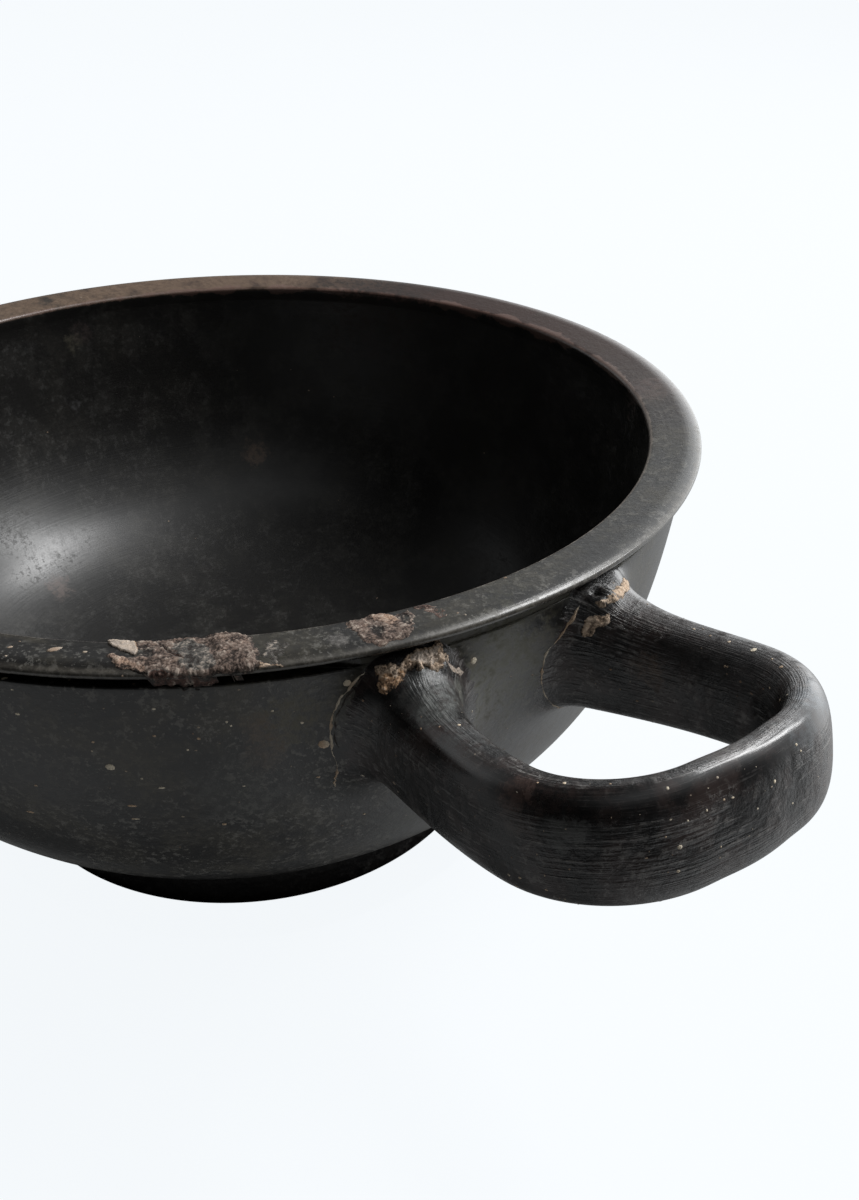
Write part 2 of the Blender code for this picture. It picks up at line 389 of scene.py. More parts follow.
class Grain:
    """Seeded lattice noise, worked out on whole arrays of points."""

    CELLS = 256
    GAIN = 1.6
    SHIFT = 7.1

    def __init__(self, seed: int) -> None:
        """Draws the lattice's slopes from the seed."""
        source = np.random.default_rng(seed)
        self.order = np.concatenate([source.permutation(self.CELLS)] * 3)
        slopes = source.normal(size=(self.CELLS, 3))
        self.slopes = slopes / np.linalg.norm(slopes, axis=1, keepdims=True)

    def smooth(self, points: np.ndarray, size: float) -> np.ndarray:
        """Gives noise of about -1 to 1.

        Args:
            points: The places, one row each.
            size: How wide one swell is.

        Returns:
            One value for each place.
        """
        scaled = points / size
        cell = np.floor(scaled).astype(int)
        inside = scaled - cell
        ease = inside**3 * (inside * (inside * 6.0 - 15.0) + 10.0)
        total = np.zeros(len(points))
        for corner in np.ndindex(2, 2, 2):
            at = (cell + corner) & (self.CELLS - 1)
            pick = self.order[self.order[self.order[at[:, 0]] + at[:, 1]] + at[:, 2]]
            swell = np.einsum("ij,ij->i", self.slopes[pick], inside - corner)
            weight = np.prod(np.where(corner, ease, 1.0 - ease), axis=1)
            total += swell * weight
        return total * self.GAIN

    def layered(self, points: np.ndarray, size: float, layers: int) -> np.ndarray:
        """Adds finer and fainter layers of the noise.

        Args:
            points: The places, one row each.
            size: How wide the broadest swell is.
            layers: How many layers there are, each half as wide as the one before.

        Returns:
            One value for each place.
        """
        steps = range(layers)
        return sum(self.smooth(points + i * self.SHIFT, size / 2**i) / 2**i for i in steps)


def eased(values: np.ndarray, low: float, high: float) -> np.ndarray:
    """Rises smoothly from 0 at low to 1 at high, on an array."""
    share = np.clip((values - low) / (high - low), 0.0, 1.0)
    return share * share * (3.0 - 2.0 * share)


def lengths_along(points: Any) -> np.ndarray:
    """Gives how far along a run of points each one lies."""
    return np.concatenate([[0.0], np.cumsum(np.linalg.norm(np.diff(points, axis=0), axis=1))])


def unit_rows(rows: np.ndarray) -> np.ndarray:
    """Gives each row the length 1."""
    return rows / np.maximum(np.linalg.norm(rows, axis=-1, keepdims=True), 1e-12)


def eased_along(values: np.ndarray, rounds: int) -> np.ndarray:
    """Evens out a run of numbers and keeps its two ends.

    Args:
        values: The numbers, evenly spaced.
        rounds: How many times each is drawn to its neighbours' mean.

    Returns:
        The evened run.
    """
    result = values.copy()
    for _ in range(rounds):
        result[1:-1] = 0.5 * result[1:-1] + 0.25 * (result[:-2] + result[2:])
    return result


def refined(points: Profile, spacing: float) -> Profile:
    """Adds points along straight runs, so that none is longer than the spacing.

    Args:
        points: A profile's points.
        spacing: The longest run that is left.

    Returns:
        The points with the new ones between them.
    """
    result = [points[0]]
    for (r0, z0), (r1, z1) in zip(points, points[1:]):
        count = max(1, math.ceil(math.hypot(r1 - r0, z1 - z0) / spacing))
        for i in range(1, count + 1):
            result.append((r0 + (r1 - r0) * i / count, z0 + (z1 - z0) * i / count))
    return result


def softened(points: Profile, reach: float, count: int = 3) -> Profile:
    """Rounds every corner of a short profile.

    Args:
        points: The profile's points.
        reach: How far from a corner the rounding starts.
        count: How many runs each rounding has.

    Returns:
        The rounded profile.
    """
    result = [points[0]]
    for before, corner, after in zip(points, points[1:], points[2:]):
        ends = []
        for other in (before, after):
            length = math.dist(corner, other)
            share = min(reach, length * 0.45) / length
            ends.append(tuple(c + (o - c) * share for c, o in zip(corner, other)))
        for i in range(count + 1):
            t = i / count
            first, middle, last = (1 - t) ** 2, 2 * t * (1 - t), t**2
            spot = (first * a + middle * c + last * b for a, c, b in zip(ends[0], corner, ends[1]))
            result.append(tuple(spot))
    return result + [points[-1]]


@dataclass
class TurnedBowl:
    """The bowl without its handle: floor, wall, flat-topped rim and ring foot."""

    height: float = 0.0635
    rim_radius: float = 0.0700
    rim_width: float = 0.0074
    rim_dip: float = 0.0011
    rim_slope: float = 0.169
    inner_edge_round: float = 0.0008
    shoulder_width: float = 0.0024
    shoulder_fall: float = 0.42
    shoulder_power: float = 2.2
    lip_radius: float = 0.00045
    lip_height: float = 0.0002
    rim_thickness: float = 0.0027
    rim_undercut: float = 0.0024
    groove_width: float = 0.0010
    groove_depth: float = 0.0022
    wall_setback: float = 0.0020
    wall_lean: float = 0.0062
    wall_curve_power: float = 3.3
    wall_thickness: float = 0.0050
    floor_thickness: float = 0.0068
    floor_start: float = 0.72
    foot_height: float = 0.0089
    foot_radius: float = 0.0393
    foot_waist: float = 0.0008
    foot_ledge: float = 0.0022
    foot_ring_width: float = 0.0062
    foot_edge: float = 0.0005
    foot_hollow_depth: float = 0.0045
    foot_hollow_slope: float = 0.0040
    steps: int = 330
    fine_side: float = math.radians(-16.0)
    crowding: float = 0.55
    wall_start: float = 0.02
    lip_tuck: float = math.radians(24.0)
    rim_run: float = 0.00042
    groove_round: float = 0.00024
    groove_run: float = 0.0005
    foot_round: float = 0.0005
    underside_run: float = 0.006
    weld: float = 0.000002
    axis_x: float = field(init=False)

    def __post_init__(self) -> None:
        """Takes the place of the bowl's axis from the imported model."""
        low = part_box(NODE)[0]
        self.axis_x = low[0] + self.rim_radius
        self.inner_edge_radius = self.rim_radius - self.rim_width
        self.rim_underside = self.height - self.rim_thickness
        self.wall_top = self.rim_underside - self.groove_width
        self.wall_top_radius = self.rim_radius - self.wall_setback
        self.wall_foot_radius = self.foot_radius + self.foot_ledge
        self.floor_level = self.foot_hollow_depth + self.floor_thickness

    def wall_point(self, share: float) -> Vector:
        """Gives a point of the wall's outer face, from 0 at its top to 1 at the foot."""
        curved = self.wall_top_radius - self.wall_foot_radius - self.wall_lean
        radius = self.wall_top_radius - self.wall_lean * share - curved * share**self.wall_curve_power
        return Vector((radius, self.wall_top + (self.foot_height - self.wall_top) * share))

    def wall_down(self, share: float) -> Vector:
        """Gives the direction down the wall's outer face."""
        low, high = max(share - 0.001, 0.0), min(share + 0.001, 1.0)
        return (self.wall_point(high) - self.wall_point(low)).normalized()

    def inside_wall(self, share: float, distance: float) -> Vector:
        """Gives a point at a distance behind the wall's outer face."""
        down = self.wall_down(share)
        return self.wall_point(share) + Vector((down.y, -down.x)) * distance

    def inner_profile(self) -> Profile:
        """Gives the inside, from the middle of the floor up to just under the rim's inner edge."""
        shares = [self.floor_start * (i / 34) ** 0.8 for i in range(2, 35)]
        wall = [self.inside_wall(share, self.wall_thickness) for share in shares]
        start = wall[-1].to_3d()
        downwards = self.wall_down(self.floor_start).to_3d()
        reach = (start.y - self.floor_level) / -downwards.y
        bend = Vector((start.x * 0.50, self.floor_level, 0.0))
        middle = Vector((0.0, self.floor_level, 0.0))
        floor = interpolate_bezier(start, start + downwards * reach * 0.65, bend, middle, 27)
        return [(point.x, point.y) for point in [*reversed(floor), *reversed(wall[:-1])]]

    def rim_profile(self) -> Profile:
        """Gives the rim's inner edge, flat top, rounded outer edge, underside and groove."""
        below = self.inside_wall(self.wall_start / 2, self.wall_thickness)
        edge = (self.inner_edge_radius, self.height - self.rim_dip)
        facing = math.atan2(1.0, self.shoulder_fall)
        lip_start = self.rim_radius - self.lip_radius * (1.0 - math.cos(facing))
        start = lip_start - self.shoulder_width
        top = (start, edge[1] + (start - edge[0]) * self.rim_slope)
        inner = refined(softened([(below.x, below.y), edge, top], self.inner_edge_round, 7), self.rim_run)
        power = self.shoulder_power
        bend = (self.rim_slope + self.shoulder_fall) / (power * self.shoulder_width ** (power - 1.0))
        turned = []
        for i in range(13):
            across = self.shoulder_width * i / 12
            turned.append((start + across, top[1] + self.rim_slope * across - bend * across**power))
        lip_x = lip_start - self.lip_radius * math.cos(facing)
        lip_z = turned[-1][1] - self.lip_radius * math.sin(facing)
        for i in range(1, 8):
            angle = facing - (facing + self.lip_tuck) * i / 7
            around = (lip_x + self.lip_radius * math.cos(angle), lip_z + self.lip_radius * math.sin(angle))
            turned.append(around)
        groove_radius = self.wall_top_radius - self.groove_depth
        below_groove = self.wall_point(self.wall_start)
        groove = [
            (turned[-1][0] - self.lip_height * 0.5, turned[-1][1] - self.lip_height),
            (self.rim_radius - self.rim_undercut, self.rim_underside),
            (groove_radius, self.rim_underside),
            (groove_radius, self.wall_top - self.groove_width * 0.4),
            (self.wall_top_radius, self.wall_top),
            (below_groove.x, below_groove.y),
        ]
        return inner + turned[1:] + refined(softened(groove, self.groove_round), self.groove_run)

    def outer_profile(self) -> Profile:
        """Gives the wall's outer face and the ring foot, to the middle of the underside."""
        left = 1.0 - self.wall_start
        wall = [self.wall_point(self.wall_start + left * (i / 72) ** 0.85) for i in range(1, 73)]
        outer = [(point.x, point.y) for point in wall]
        waist = self.foot_radius - self.foot_waist
        ring_radius = self.foot_radius - self.foot_ring_width
        foot = [
            outer[-1],
            (waist + (self.wall_foot_radius - waist) * 0.30, self.foot_height * 0.88),
            (waist, self.foot_height * 0.62),
            (waist + self.foot_waist * 0.35, self.foot_height * 0.30),
            (self.foot_radius, self.foot_edge),
            (self.foot_radius - self.foot_edge, 0.0),
            (ring_radius, 0.0),
        ]
        hollow = []
        for i in range(1, 7):
            angle = math.radians(90.0 * i / 6)
            radius = ring_radius - self.foot_hollow_slope * (1.0 - math.cos(angle))
            hollow.append((radius, self.foot_hollow_depth * math.sin(angle)))
        under = refined([hollow[-1], (0.0, self.foot_hollow_depth)], self.underside_run)
        return outer[:-1] + softened(foot, self.foot_round, 2) + hollow + under[1:]

    def profile(self) -> Profile:
        """Gives the whole half section as radius and height."""
        return self.inner_profile() + self.rim_profile() + self.outer_profile()

    def landmarks(self) -> tuple[float, ...]:
        """Gives how far along the half section the rim's two edges, the wall's top and foot lie."""
        profile = np.array(self.profile())
        lengths = lengths_along(profile)
        wanted = (
            (self.inner_edge_radius, self.height - self.rim_dip),
            (self.rim_radius - self.lip_radius * 0.5, self.height - self.shoulder_width * 0.35),
            (self.wall_top_radius, self.wall_top),
            (self.wall_foot_radius, self.foot_height),
        )
        return tuple(float(lengths[np.argmin(np.hypot(*(profile - spot).T))]) for spot in wanted)

    def azimuth(self, points: np.ndarray) -> np.ndarray:
        """Gives each point's azimuth about the bowl's axis, in degrees."""
        return np.degrees(np.arctan2(points[:, 1], points[:, 0] - self.axis_x))

    def radius(self, points: np.ndarray) -> np.ndarray:
        """Gives each point's distance from the bowl's axis."""
        return np.hypot(points[:, 0] - self.axis_x, points[:, 1])

    def place(self, azimuth: float, radius: float, height: float) -> Vector:
        """Gives a point from its azimuth in degrees, its radius and its height."""
        angle = math.radians(azimuth)
        return Vector((self.axis_x + radius * math.cos(angle), radius * math.sin(angle), height))

    def widened(self, points: np.ndarray, grow: np.ndarray) -> np.ndarray:
        """Gives points whose distance from the bowl's axis is multiplied."""
        moved = points.copy()
        moved[:, 0] = self.axis_x + (points[:, 0] - self.axis_x) * grow
        moved[:, 1] *= grow
        return moved

    def turning_tree(self) -> NodeTree:
        """Builds the tree that turns a profile about the bowl's axis.

        Returns:
            The tree. Its steps are closer together on the side that carries the handle.
        """
        inputs = {"Profile Points": "Int", "Steps": "Int", "Fine Side": "Float", "Crowding": "Float"}
        bench, given = new_tree("turned_from_profile", {**inputs, "Axis": "Float", "Glaze": "Material"})
        rows, steps = given["Profile Points"], given["Steps"]
        sizes = {"Size X": 1.0, "Size Y": 1.0, "Vertices X": steps + 1.0, "Vertices Y": rows}
        grid = bench.field("GeometryNodeMeshGrid", {}, sizes)
        index = bench.field("GeometryNodeInputIndex")
        column = ((index + 0.5) / rows).whole()
        turn = column / steps * (2.0 * math.pi)
        angle = turn - given["Crowding"] * turn.sine() + given["Fine Side"]
        position = bench.field("GeometryNodeInputPosition")
        section = bench.field(
            "GeometryNodeSampleIndex",
            {"data_type": "FLOAT_VECTOR"},
            {"Geometry": given["Geometry"], "Value": position, "Index": index - column * rows},
        )
        away, along, up = bench.split(section)
        point = bench.vector(away * angle.cosine() + given["Axis"], away * angle.sine(), up)
        moved = bench.field("GeometryNodeSetPosition", {}, {"Geometry": grid, "Position": point})
        flat = bench.field(
            "GeometryNodeFieldOnDomain",
            {"data_type": "FLOAT_VECTOR", "domain": "POINT"},
            {0: bench.vector(angle * self.rim_radius, along)},
        )
        mapped = bench.field(
            "GeometryNodeStoreNamedAttribute",
            {"data_type": "FLOAT2", "domain": "CORNER"},
            {"Geometry": moved, "Name": SURFACE_MAP, "Value": flat},
        )
        welded = {"Geometry": mapped, "Distance": self.weld}
        merged = bench.field("GeometryNodeMergeByDistance", {}, welded)
        outwards = bench.field("GeometryNodeFlipFaces", {}, {"Mesh": merged})
        return bench.finished(outwards, given["Glaze"])

    def build(self, glaze: Material) -> Object:
        """Turns the bowl.

        Args:
            glaze: The material that it gets.

        Returns:
            The closed bowl as a plain mesh.
        """
        profile = np.array(self.profile())
        rows = np.insert(profile, 1, lengths_along(profile), axis=1)
        values = {
            "Profile Points": len(rows),
            "Steps": self.steps,
            "Fine Side": self.fine_side,
            "Crowding": self.crowding,
            "Axis": self.axis_x,
            "Glaze": glaze,
        }
        section = add_mesh("bowl_profile", rows.tolist(), material=glaze)
        return realised(section, self.turning_tree(), values, "turned_bowl")


def realised(obj: Object, tree: NodeTree, values: dict[str, Any], name: str) -> Object:
    """Runs a geometry tree on an object and keeps the result as a plain mesh.

    Args:
        obj: The object that the tree starts from, which is removed.
        tree: The geometry tree.
        values: The tree's inputs, by name.
        name: The new object's name.

    Returns:
        The new object.
    """
    modifier = obj.modifiers.new(tree.name, "NODES")
    modifier.node_group = tree
    for item in tree.interface.items_tree:
        if item.in_out == "INPUT" and item.name in values:
            modifier[item.identifier] = values[item.name]
    result = plain_copy(obj, name)
    bpy.data.objects.remove(obj, do_unlink=True)
    return result


def plain_copy(obj: Object, name: str) -> Object:
    """Gives what an object's modifiers make of it as a new plain object."""
    graph = bpy.context.evaluated_depsgraph_get()
    mesh = bpy.data.meshes.new_from_object(obj.evaluated_get(graph), depsgraph=graph)
    mesh.name = name
    return add_object(name, mesh)


def points_of(mesh: Mesh) -> np.ndarray:
    """Gives a mesh's points as rows."""
    flat = np.empty(len(mesh.vertices) * 3)
    mesh.vertices.foreach_get("co", flat)
    return flat.reshape(-1, 3)


def search_tree(mesh: Mesh) -> BVHTree:
    """Makes a search tree of a mesh's faces."""
    return BVHTree.FromPolygons(points_of(mesh).tolist(), [list(p.vertices) for p in mesh.polygons])


def normals_of(mesh: Mesh) -> np.ndarray:
    """Gives the normals at a mesh's points as rows."""
    flat = np.empty(len(mesh.vertices) * 3, dtype=np.float32)
    mesh.vertex_normals.foreach_get("vector", flat)
    return flat.reshape(-1, 3).astype(float)


def set_points(mesh: Mesh, points: np.ndarray) -> None:
    """Moves a mesh's points."""
    mesh.vertices.foreach_set("co", points.ravel())
    mesh.update()


def store(mesh: Mesh, name: str, values: np.ndarray) -> None:
    """Keeps one number at each point of a mesh."""
    layer = mesh.attributes.get(name) or mesh.attributes.new(name, "FLOAT", "POINT")
    layer.data.foreach_set("value", values.astype(np.float32))


@dataclass
class StrapHandle:
    """The horizontal strap, thick at its two roots and thinner along its crossbar."""

    bowl: TurnedBowl
    projection: float = 0.0317
    arm_spacing: float = 0.0343
    root_spacing: float = 0.0248
    corner_radius: float = 0.0124
    bow: float = 0.0005
    below_rim: float = 0.0157
    rise: float = 0.0096
    lean: float = math.radians(14.0)
    strap_height: float = 0.0123
    arm_thickness: float = 0.0067
    bar_thickness: float = 0.0048
    squareness: float = 2.6
    root_extra_height: float = 0.0100
    root_extra_thickness: float = 0.0120
    root_lift: float = 0.0056
    root_spread_length: float = 0.0063
    root_buried_length: float = 0.0006
    around: int = 88
    spacing: float = 0.00042
    plan_rounds: int = 12
    thickness_rounds: int = 30
    height_rounds: int = 40
    slope_by_rim: float = 1.2

    def __post_init__(self) -> None:
        """Works out where the strap starts, turns and ends."""
        self.start = self.bowl.inner_edge_radius
        self.reach = self.bowl.rim_radius + self.projection
        self.corner = self.reach - self.corner_radius

    def flare(self, x: float) -> float:
        """Gives how much of the root's spread is left at a distance from the bowl's axis."""
        return math.exp(-max(x - self.start, 0.0) / self.root_spread_length)

    def plan(self) -> np.ndarray:
        """Gives the strap's middle line in plan, evenly spaced from root to root."""
        half = []
        first = self.start - self.root_buried_length
        arm_y, root_y = self.arm_spacing / 2, self.root_spacing / 2
        for i in range(120):
            x = first + (self.corner - first) * i / 120
            spread = max((x - self.start) / (self.corner - self.start), 0.0)
            half.append((x, -root_y - (arm_y - root_y) * math.sin(0.5 * math.pi * spread)))
        centre_y = arm_y - self.corner_radius
        for i in range(61):
            angle = math.radians(90.0 - 90.0 * i / 60)
            across = self.corner_radius * math.cos(angle)
            half.append((self.corner + across, -centre_y - self.corner_radius * math.sin(angle)))
        for i in range(1, 20):
            y = centre_y * (1.0 - i / 20)
            half.append((self.reach + self.bow * (1.0 - (y / centre_y) ** 2), -y))
        whole = np.array(half + [(self.reach + self.bow, 0.0)] + [(x, -y) for x, y in reversed(half)])
        steps = lengths_along(whole)
        even = np.linspace(0.0, steps[-1], round(steps[-1] / self.spacing) + 1)
        columns = (np.interp(even, steps, whole[:, k]) for k in range(2))
        return np.column_stack([eased_along(column, self.plan_rounds) for column in columns])

    def middle_and_half_height(self, x: float) -> tuple[float, float]:
        """Gives the strap's middle height and half its own height at a distance from the axis."""
        upright = math.cos(self.lean)
        share = (x - self.start) / (self.reach - self.start)
        lift = self.rise * share + self.root_lift * self.flare(x)
        middle = self.bowl.height - self.below_rim + lift
        half = upright * (self.strap_height + self.root_extra_height * self.flare(x)) / 2
        limit = self.bowl.wall_top + max(x - self.bowl.rim_radius, 0.0) * self.slope_by_rim
        top, bottom = min(middle + half, limit), middle - half
        return (top + bottom) / 2, (top - bottom) / 2 / upright

    def half_thickness(self, x: float) -> float:
        """Gives half the strap's thickness at a distance from the bowl's axis."""
        on_bar = min(max((x - self.corner) / self.corner_radius, 0.0), 1.0)
        thickness = self.arm_thickness + (self.bar_thickness - self.arm_thickness) * on_bar
        return (thickness + self.root_extra_thickness * self.flare(x)) / 2

    def build(self, glaze: Material) -> Object:
        """Skins the strap over its cross-sections.

        Args:
            glaze: The material that it gets.

        Returns:
            The closed strap, whose map runs along and around it in metres.
        """
        plan = self.plan()
        middles, talls = zip(*(self.middle_and_half_height(x) for x, _ in plan))
        middle, tall = (eased_along(np.array(values), self.height_rounds) for values in (middles, talls))
        thick = eased_along(np.array([self.half_thickness(x) for x, _ in plan]), self.thickness_rounds)
        centres = np.column_stack([plan, middle])
        along = unit_rows(np.gradient(centres, axis=0))
        up = np.array([-math.sin(self.lean), 0.0, math.cos(self.lean)])
        up = unit_rows(up - along * (along @ up)[:, None])
        out = np.cross(along, up)
        angles = 2.0 * math.pi * np.arange(self.around) / self.around
        turns = (np.cos(angles), np.sin(angles))
        side, rise = (np.sign(turn) * np.abs(turn) ** (2.0 / self.squareness) for turn in turns)
        rings = (
            centres[:, None, :]
            + out[:, None, :] * (thick[:, None] * side)[:, :, None]
            + up[:, None, :] * (tall[:, None] * rise)[:, :, None]
        )
        rings[:, :, 0] += self.bowl.axis_x
        count, around = rings.shape[:2]
        points = self._kept_out(rings.reshape(-1, 3))
        i, k = np.meshgrid(np.arange(count - 1) * around, np.arange(around), indexing="ij")
        after = (k + 1) % around
        quads = np.stack([i + k, i + after, i + around + after, i + around + k], -1)
        faces = quads.reshape(-1, 4).tolist()
        faces.append(list(range(around))[::-1])
        faces.append([(count - 1) * around + n for n in range(around)])
        strap = add_mesh("strap_handle", points.tolist(), [], faces, glaze)
        self._map(strap.data, count, around)
        work = bmesh.new()
        work.from_mesh(strap.data)
        bmesh.ops.recalc_face_normals(work, faces=work.faces)
        work.to_mesh(strap.data)
        work.free()
        strap.data.shade_smooth()
        return strap

    def _kept_out(self, points: np.ndarray) -> np.ndarray:
        """Moves what would reach into the bowl out to the middle of its wall."""
        wall = np.array([self.bowl.wall_point(share) for share in np.linspace(0.0, 1.0, 200)])
        middle = np.interp(points[:, 2], wall[::-1, 1], wall[::-1, 0]) - self.bowl.wall_thickness / 2
        return self.bowl.widened(points, np.maximum(middle / self.bowl.radius(points), 1.0))

    def _map(self, mesh: Mesh, count: int, around: int) -> None:
        """Lays the surface map along and around the strap."""
        layer = mesh.uv_layers.new(name=SURFACE_MAP)
        points, corners = np.empty(len(mesh.loops), dtype=int), np.arange(len(mesh.loops))
        mesh.loops.foreach_get("vertex_index", points)
        ring, spot = points // around, points % around
        first = corners - corners % 4
        wraps = (spot == 0) & (spot[first] == around - 1) & (corners < (count - 1) * around * 4)
        spot = np.where(wraps, around, spot)
        girth = 2.0 * (self.strap_height + self.bar_thickness)
        flat = np.stack([1.0 + ring * self.spacing, spot / around * girth], -1)
        layer.data.foreach_set("uv", flat.ravel().astype(np.float32))


@dataclass
class Vessel:
    """The bowl and its handle grown together, with the relief that age has given them."""

    bowl: TurnedBowl
    handle: StrapHandle
    blend: float = 0.0042
    groove_dirt: float = 0.00015
    silted_from: tuple[float, float] = (-22.0, -15.0)
    silted_to: tuple[float, float] = (78.0, 92.0)
    edge_wear: float = 0.00034
    worn_from: tuple[float, float] = (26.0, 38.0)
    worn_to: tuple[float, float] = (80.0, 110.0)
    worn_width: float = 0.0038
    worn_height: float = 0.006
    root_azimuth: float = 34.0
    root_bottom: float = 0.026
    root_radius: float = 0.0605
    joint_rounds: int = 34

    def build(self, glaze: Material, strap_glaze: Material) -> Object:
        """Joins the two bodies into one closed skin.

        Args:
            glaze: The bowl's material.
            strap_glaze: The handle's material.

        Returns:
            The vessel.
        """
        bowl = self.bowl.build(glaze)
        self._silt_groove(bowl.data)
        self._wear_edge(bowl.data)
        handle = self.handle.build(strap_glaze)
        trees = self._fill_roots(bowl, handle)
        join = bowl.modifiers.new("joined_handle", "BOOLEAN")
        join.operation = "UNION"
        join.solver = "MANIFOLD"
        join.object = handle
        join.material_mode = "TRANSFER"
        vessel = plain_copy(bowl, "glazed_vessel")
        self._ease_joint(vessel.data, trees)
        for helper in (bowl, handle):
            bpy.data.objects.remove(helper, do_unlink=True)
        return vessel

    def _silt_groove(self, mesh: Mesh) -> None:
        """Fills the groove under the rim on the side that the handle shelters."""
        bowl, points = self.bowl, points_of(mesh)
        azimuths, radii, heights = bowl.azimuth(points), bowl.radius(points), points[:, 2]
        share = eased(azimuths, *self.silted_from) * (1.0 - eased(azimuths, *self.silted_to))
        groove = (heights > bowl.wall_top - 0.0006) & (heights < bowl.rim_underside + 0.0001)
        groove &= (radii < bowl.wall_top_radius - 0.0003) & (radii > bowl.inner_edge_radius + 0.0015)
        uneven = Grain(6).layered(points, 0.0008, 3) * 0.00008
        short = (bowl.wall_top_radius - radii) * 0.85 + self.groove_dirt + uneven
        set_points(mesh, bowl.widened(points, 1.0 + groove * share * short / radii))

    def _wear_edge(self, mesh: Mesh) -> None:
        """Lowers the rim's inner edge beside the front crust, where it is rubbed down."""
        bowl, points = self.bowl, points_of(mesh)
        azimuths, radii = bowl.azimuth(points), bowl.radius(points)
        share = eased(-azimuths, *self.worn_from) * (1.0 - eased(-azimuths, *self.worn_to))
        share *= 1.0 - eased(radii, bowl.inner_edge_radius, bowl.inner_edge_radius + self.worn_width)
        share *= eased(points[:, 2], bowl.height - self.worn_height, bowl.height - bowl.rim_dip)
        points[:, 2] -= share * self.edge_wear
        set_points(mesh, points)

    def _near_roots(self, points: np.ndarray, below_top: float) -> np.ndarray:
        """Gives the numbers of the points by the roots that lie below the wall's top."""
        near = np.abs(self.bowl.azimuth(points)) < self.root_azimuth
        near &= self.bowl.radius(points) > self.root_radius
        near &= (points[:, 2] > self.root_bottom) & (points[:, 2] < self.bowl.wall_top - below_top)
        return np.nonzero(near)[0]

    def _ease_joint(self, mesh: Mesh, trees: list[BVHTree]) -> None:
        """Draws the points along the joint to their neighbours, so that it has no hard crease."""
        points = points_of(mesh)
        gaps = np.full(len(points), 1.0)
        for i in self._near_roots(points, 0.0003):
            gaps[i] = max(tree.find_nearest(Vector(points[i]))[3] for tree in trees)
        share = (1.0 - eased(gaps, 0.0015, 0.0062)) * 0.6
        ends = np.array([edge.vertices for edge in mesh.edges])
        ends = ends[(share[ends] > 0.0).any(axis=1)]
        here, there = np.concatenate([ends, ends[:, ::-1]]).T
        count = np.maximum(np.bincount(here, minlength=len(points)), 1)
        for _ in range(self.joint_rounds):
            for axis in range(3):
                total = np.bincount(here, weights=points[there, axis], minlength=len(points))
                points[:, axis] += (total / count - points[:, axis]) * share
        set_points(mesh, points)

    def _fill_roots(self, bowl: Object, handle: Object) -> list[BVHTree]:
        """Swells both bodies where they meet, so that the handle grows out of the wall.

        Args:
            bowl: The turned bowl.
            handle: The strap.

        Returns:
            Search trees of the handle and of the bowl as they were.
        """
        trees = [search_tree(handle.data), search_tree(bowl.data)]
        for obj, tree in zip((bowl, handle), trees):
            points, normals = points_of(obj.data), normals_of(obj.data)
            fades = np.ones(len(points))
            if obj is bowl:
                fades = eased(self.bowl.wall_top - points[:, 2], 0.0003, 0.0032)
            for i in self._near_roots(points, 0.0004 if obj is bowl else -math.inf):
                spot, facing, _, distance = tree.find_nearest(Vector(points[i]))
                inside = (Vector(points[i]) - spot).dot(facing) < -0.9 * distance
                gap = 0.0 if inside else distance
                if gap < self.blend:
                    points[i] += normals[i] * (self.blend / 4.0) * fades[i] * (1.0 - gap / self.blend) ** 2
            set_points(obj.data, points)
        return trees


def blurred(grid: np.ndarray, reach: float) -> np.ndarray:
    """Blurs a grid of numbers, leaving empty cells out.

    Args:
        grid: The numbers, with nan where there is none.
        reach: How far the blur goes, in cells.

    Returns:
        The blurred grid, filled wherever a number is near enough.
    """
    width = math.ceil(reach * 2.5)
    kernel = np.exp(-0.5 * (np.arange(-width, width + 1) / reach) ** 2)
    known = np.isfinite(grid).astype(float)
    value = np.where(np.isfinite(grid), grid, 0.0)
    for axis in (0, 1):
        value = np.apply_along_axis(np.convolve, axis, value, kernel, mode="same")
        known = np.apply_along_axis(np.convolve, axis, known, kernel, mode="same")
    return value / np.maximum(known, 1e-9)


def depth_inside(across: np.ndarray, up: np.ndarray, outline: tuple[tuple[float, float], ...]) -> np.ndarray:
    """Gives how far inside an outline each point of a grid lies.

    Args:
        across: The grid's first coordinates.
        up: The grid's second coordinates.
        outline: The outline's corners.

    Returns:
        The distance to the outline, negative outside it.
    """
    nearest = np.full(across.shape, np.inf)
    inside = np.zeros(across.shape, dtype=bool)
    for (x0, y0), (x1, y1) in zip(outline, outline[1:] + outline[:1]):
        run, rise = x1 - x0, y1 - y0
        share = np.clip(((across - x0) * run + (up - y0) * rise) / (run * run + rise * rise), 0.0, 1.0)
        nearest = np.minimum(nearest, np.hypot(across - x0 - run * share, up - y0 - rise * share))
        crosses = (y0 > up) != (y1 > up)
        inside ^= crosses & (across < run * (up - y0) / (rise if rise else 1e-9) + x0)
    return np.where(inside, nearest, -nearest)


def corners_of(cells: np.ndarray) -> np.ndarray:
    """Picks every point of a grid that is a corner of a picked cell."""
    rows, columns = cells.shape
    used = np.zeros((rows + 1, columns + 1), dtype=bool)
    for i, k in np.ndindex(2, 2):
        used[i : i + rows, k : k + columns] |= cells
    return used


class Tone(Enum):
    """What a part of the crust is made of."""

    HOLLOW = 0.0
    DARK_EARTH = 0.2
    GREY_LIME = 0.4
    EARTH = 0.6
    ROSE_CLAY = 0.7
    RUST = 0.8
    SAND = 0.9
    PALE_CLAY = 1.0


@dataclass(frozen=True)
class Zone:
    """One area of a crust, in millimetres on the crust's own flat guide."""

    tone: Tone
    proud: float
    lumps: float
    outline: tuple[tuple[float, float], ...]
    edge: float = 0.40


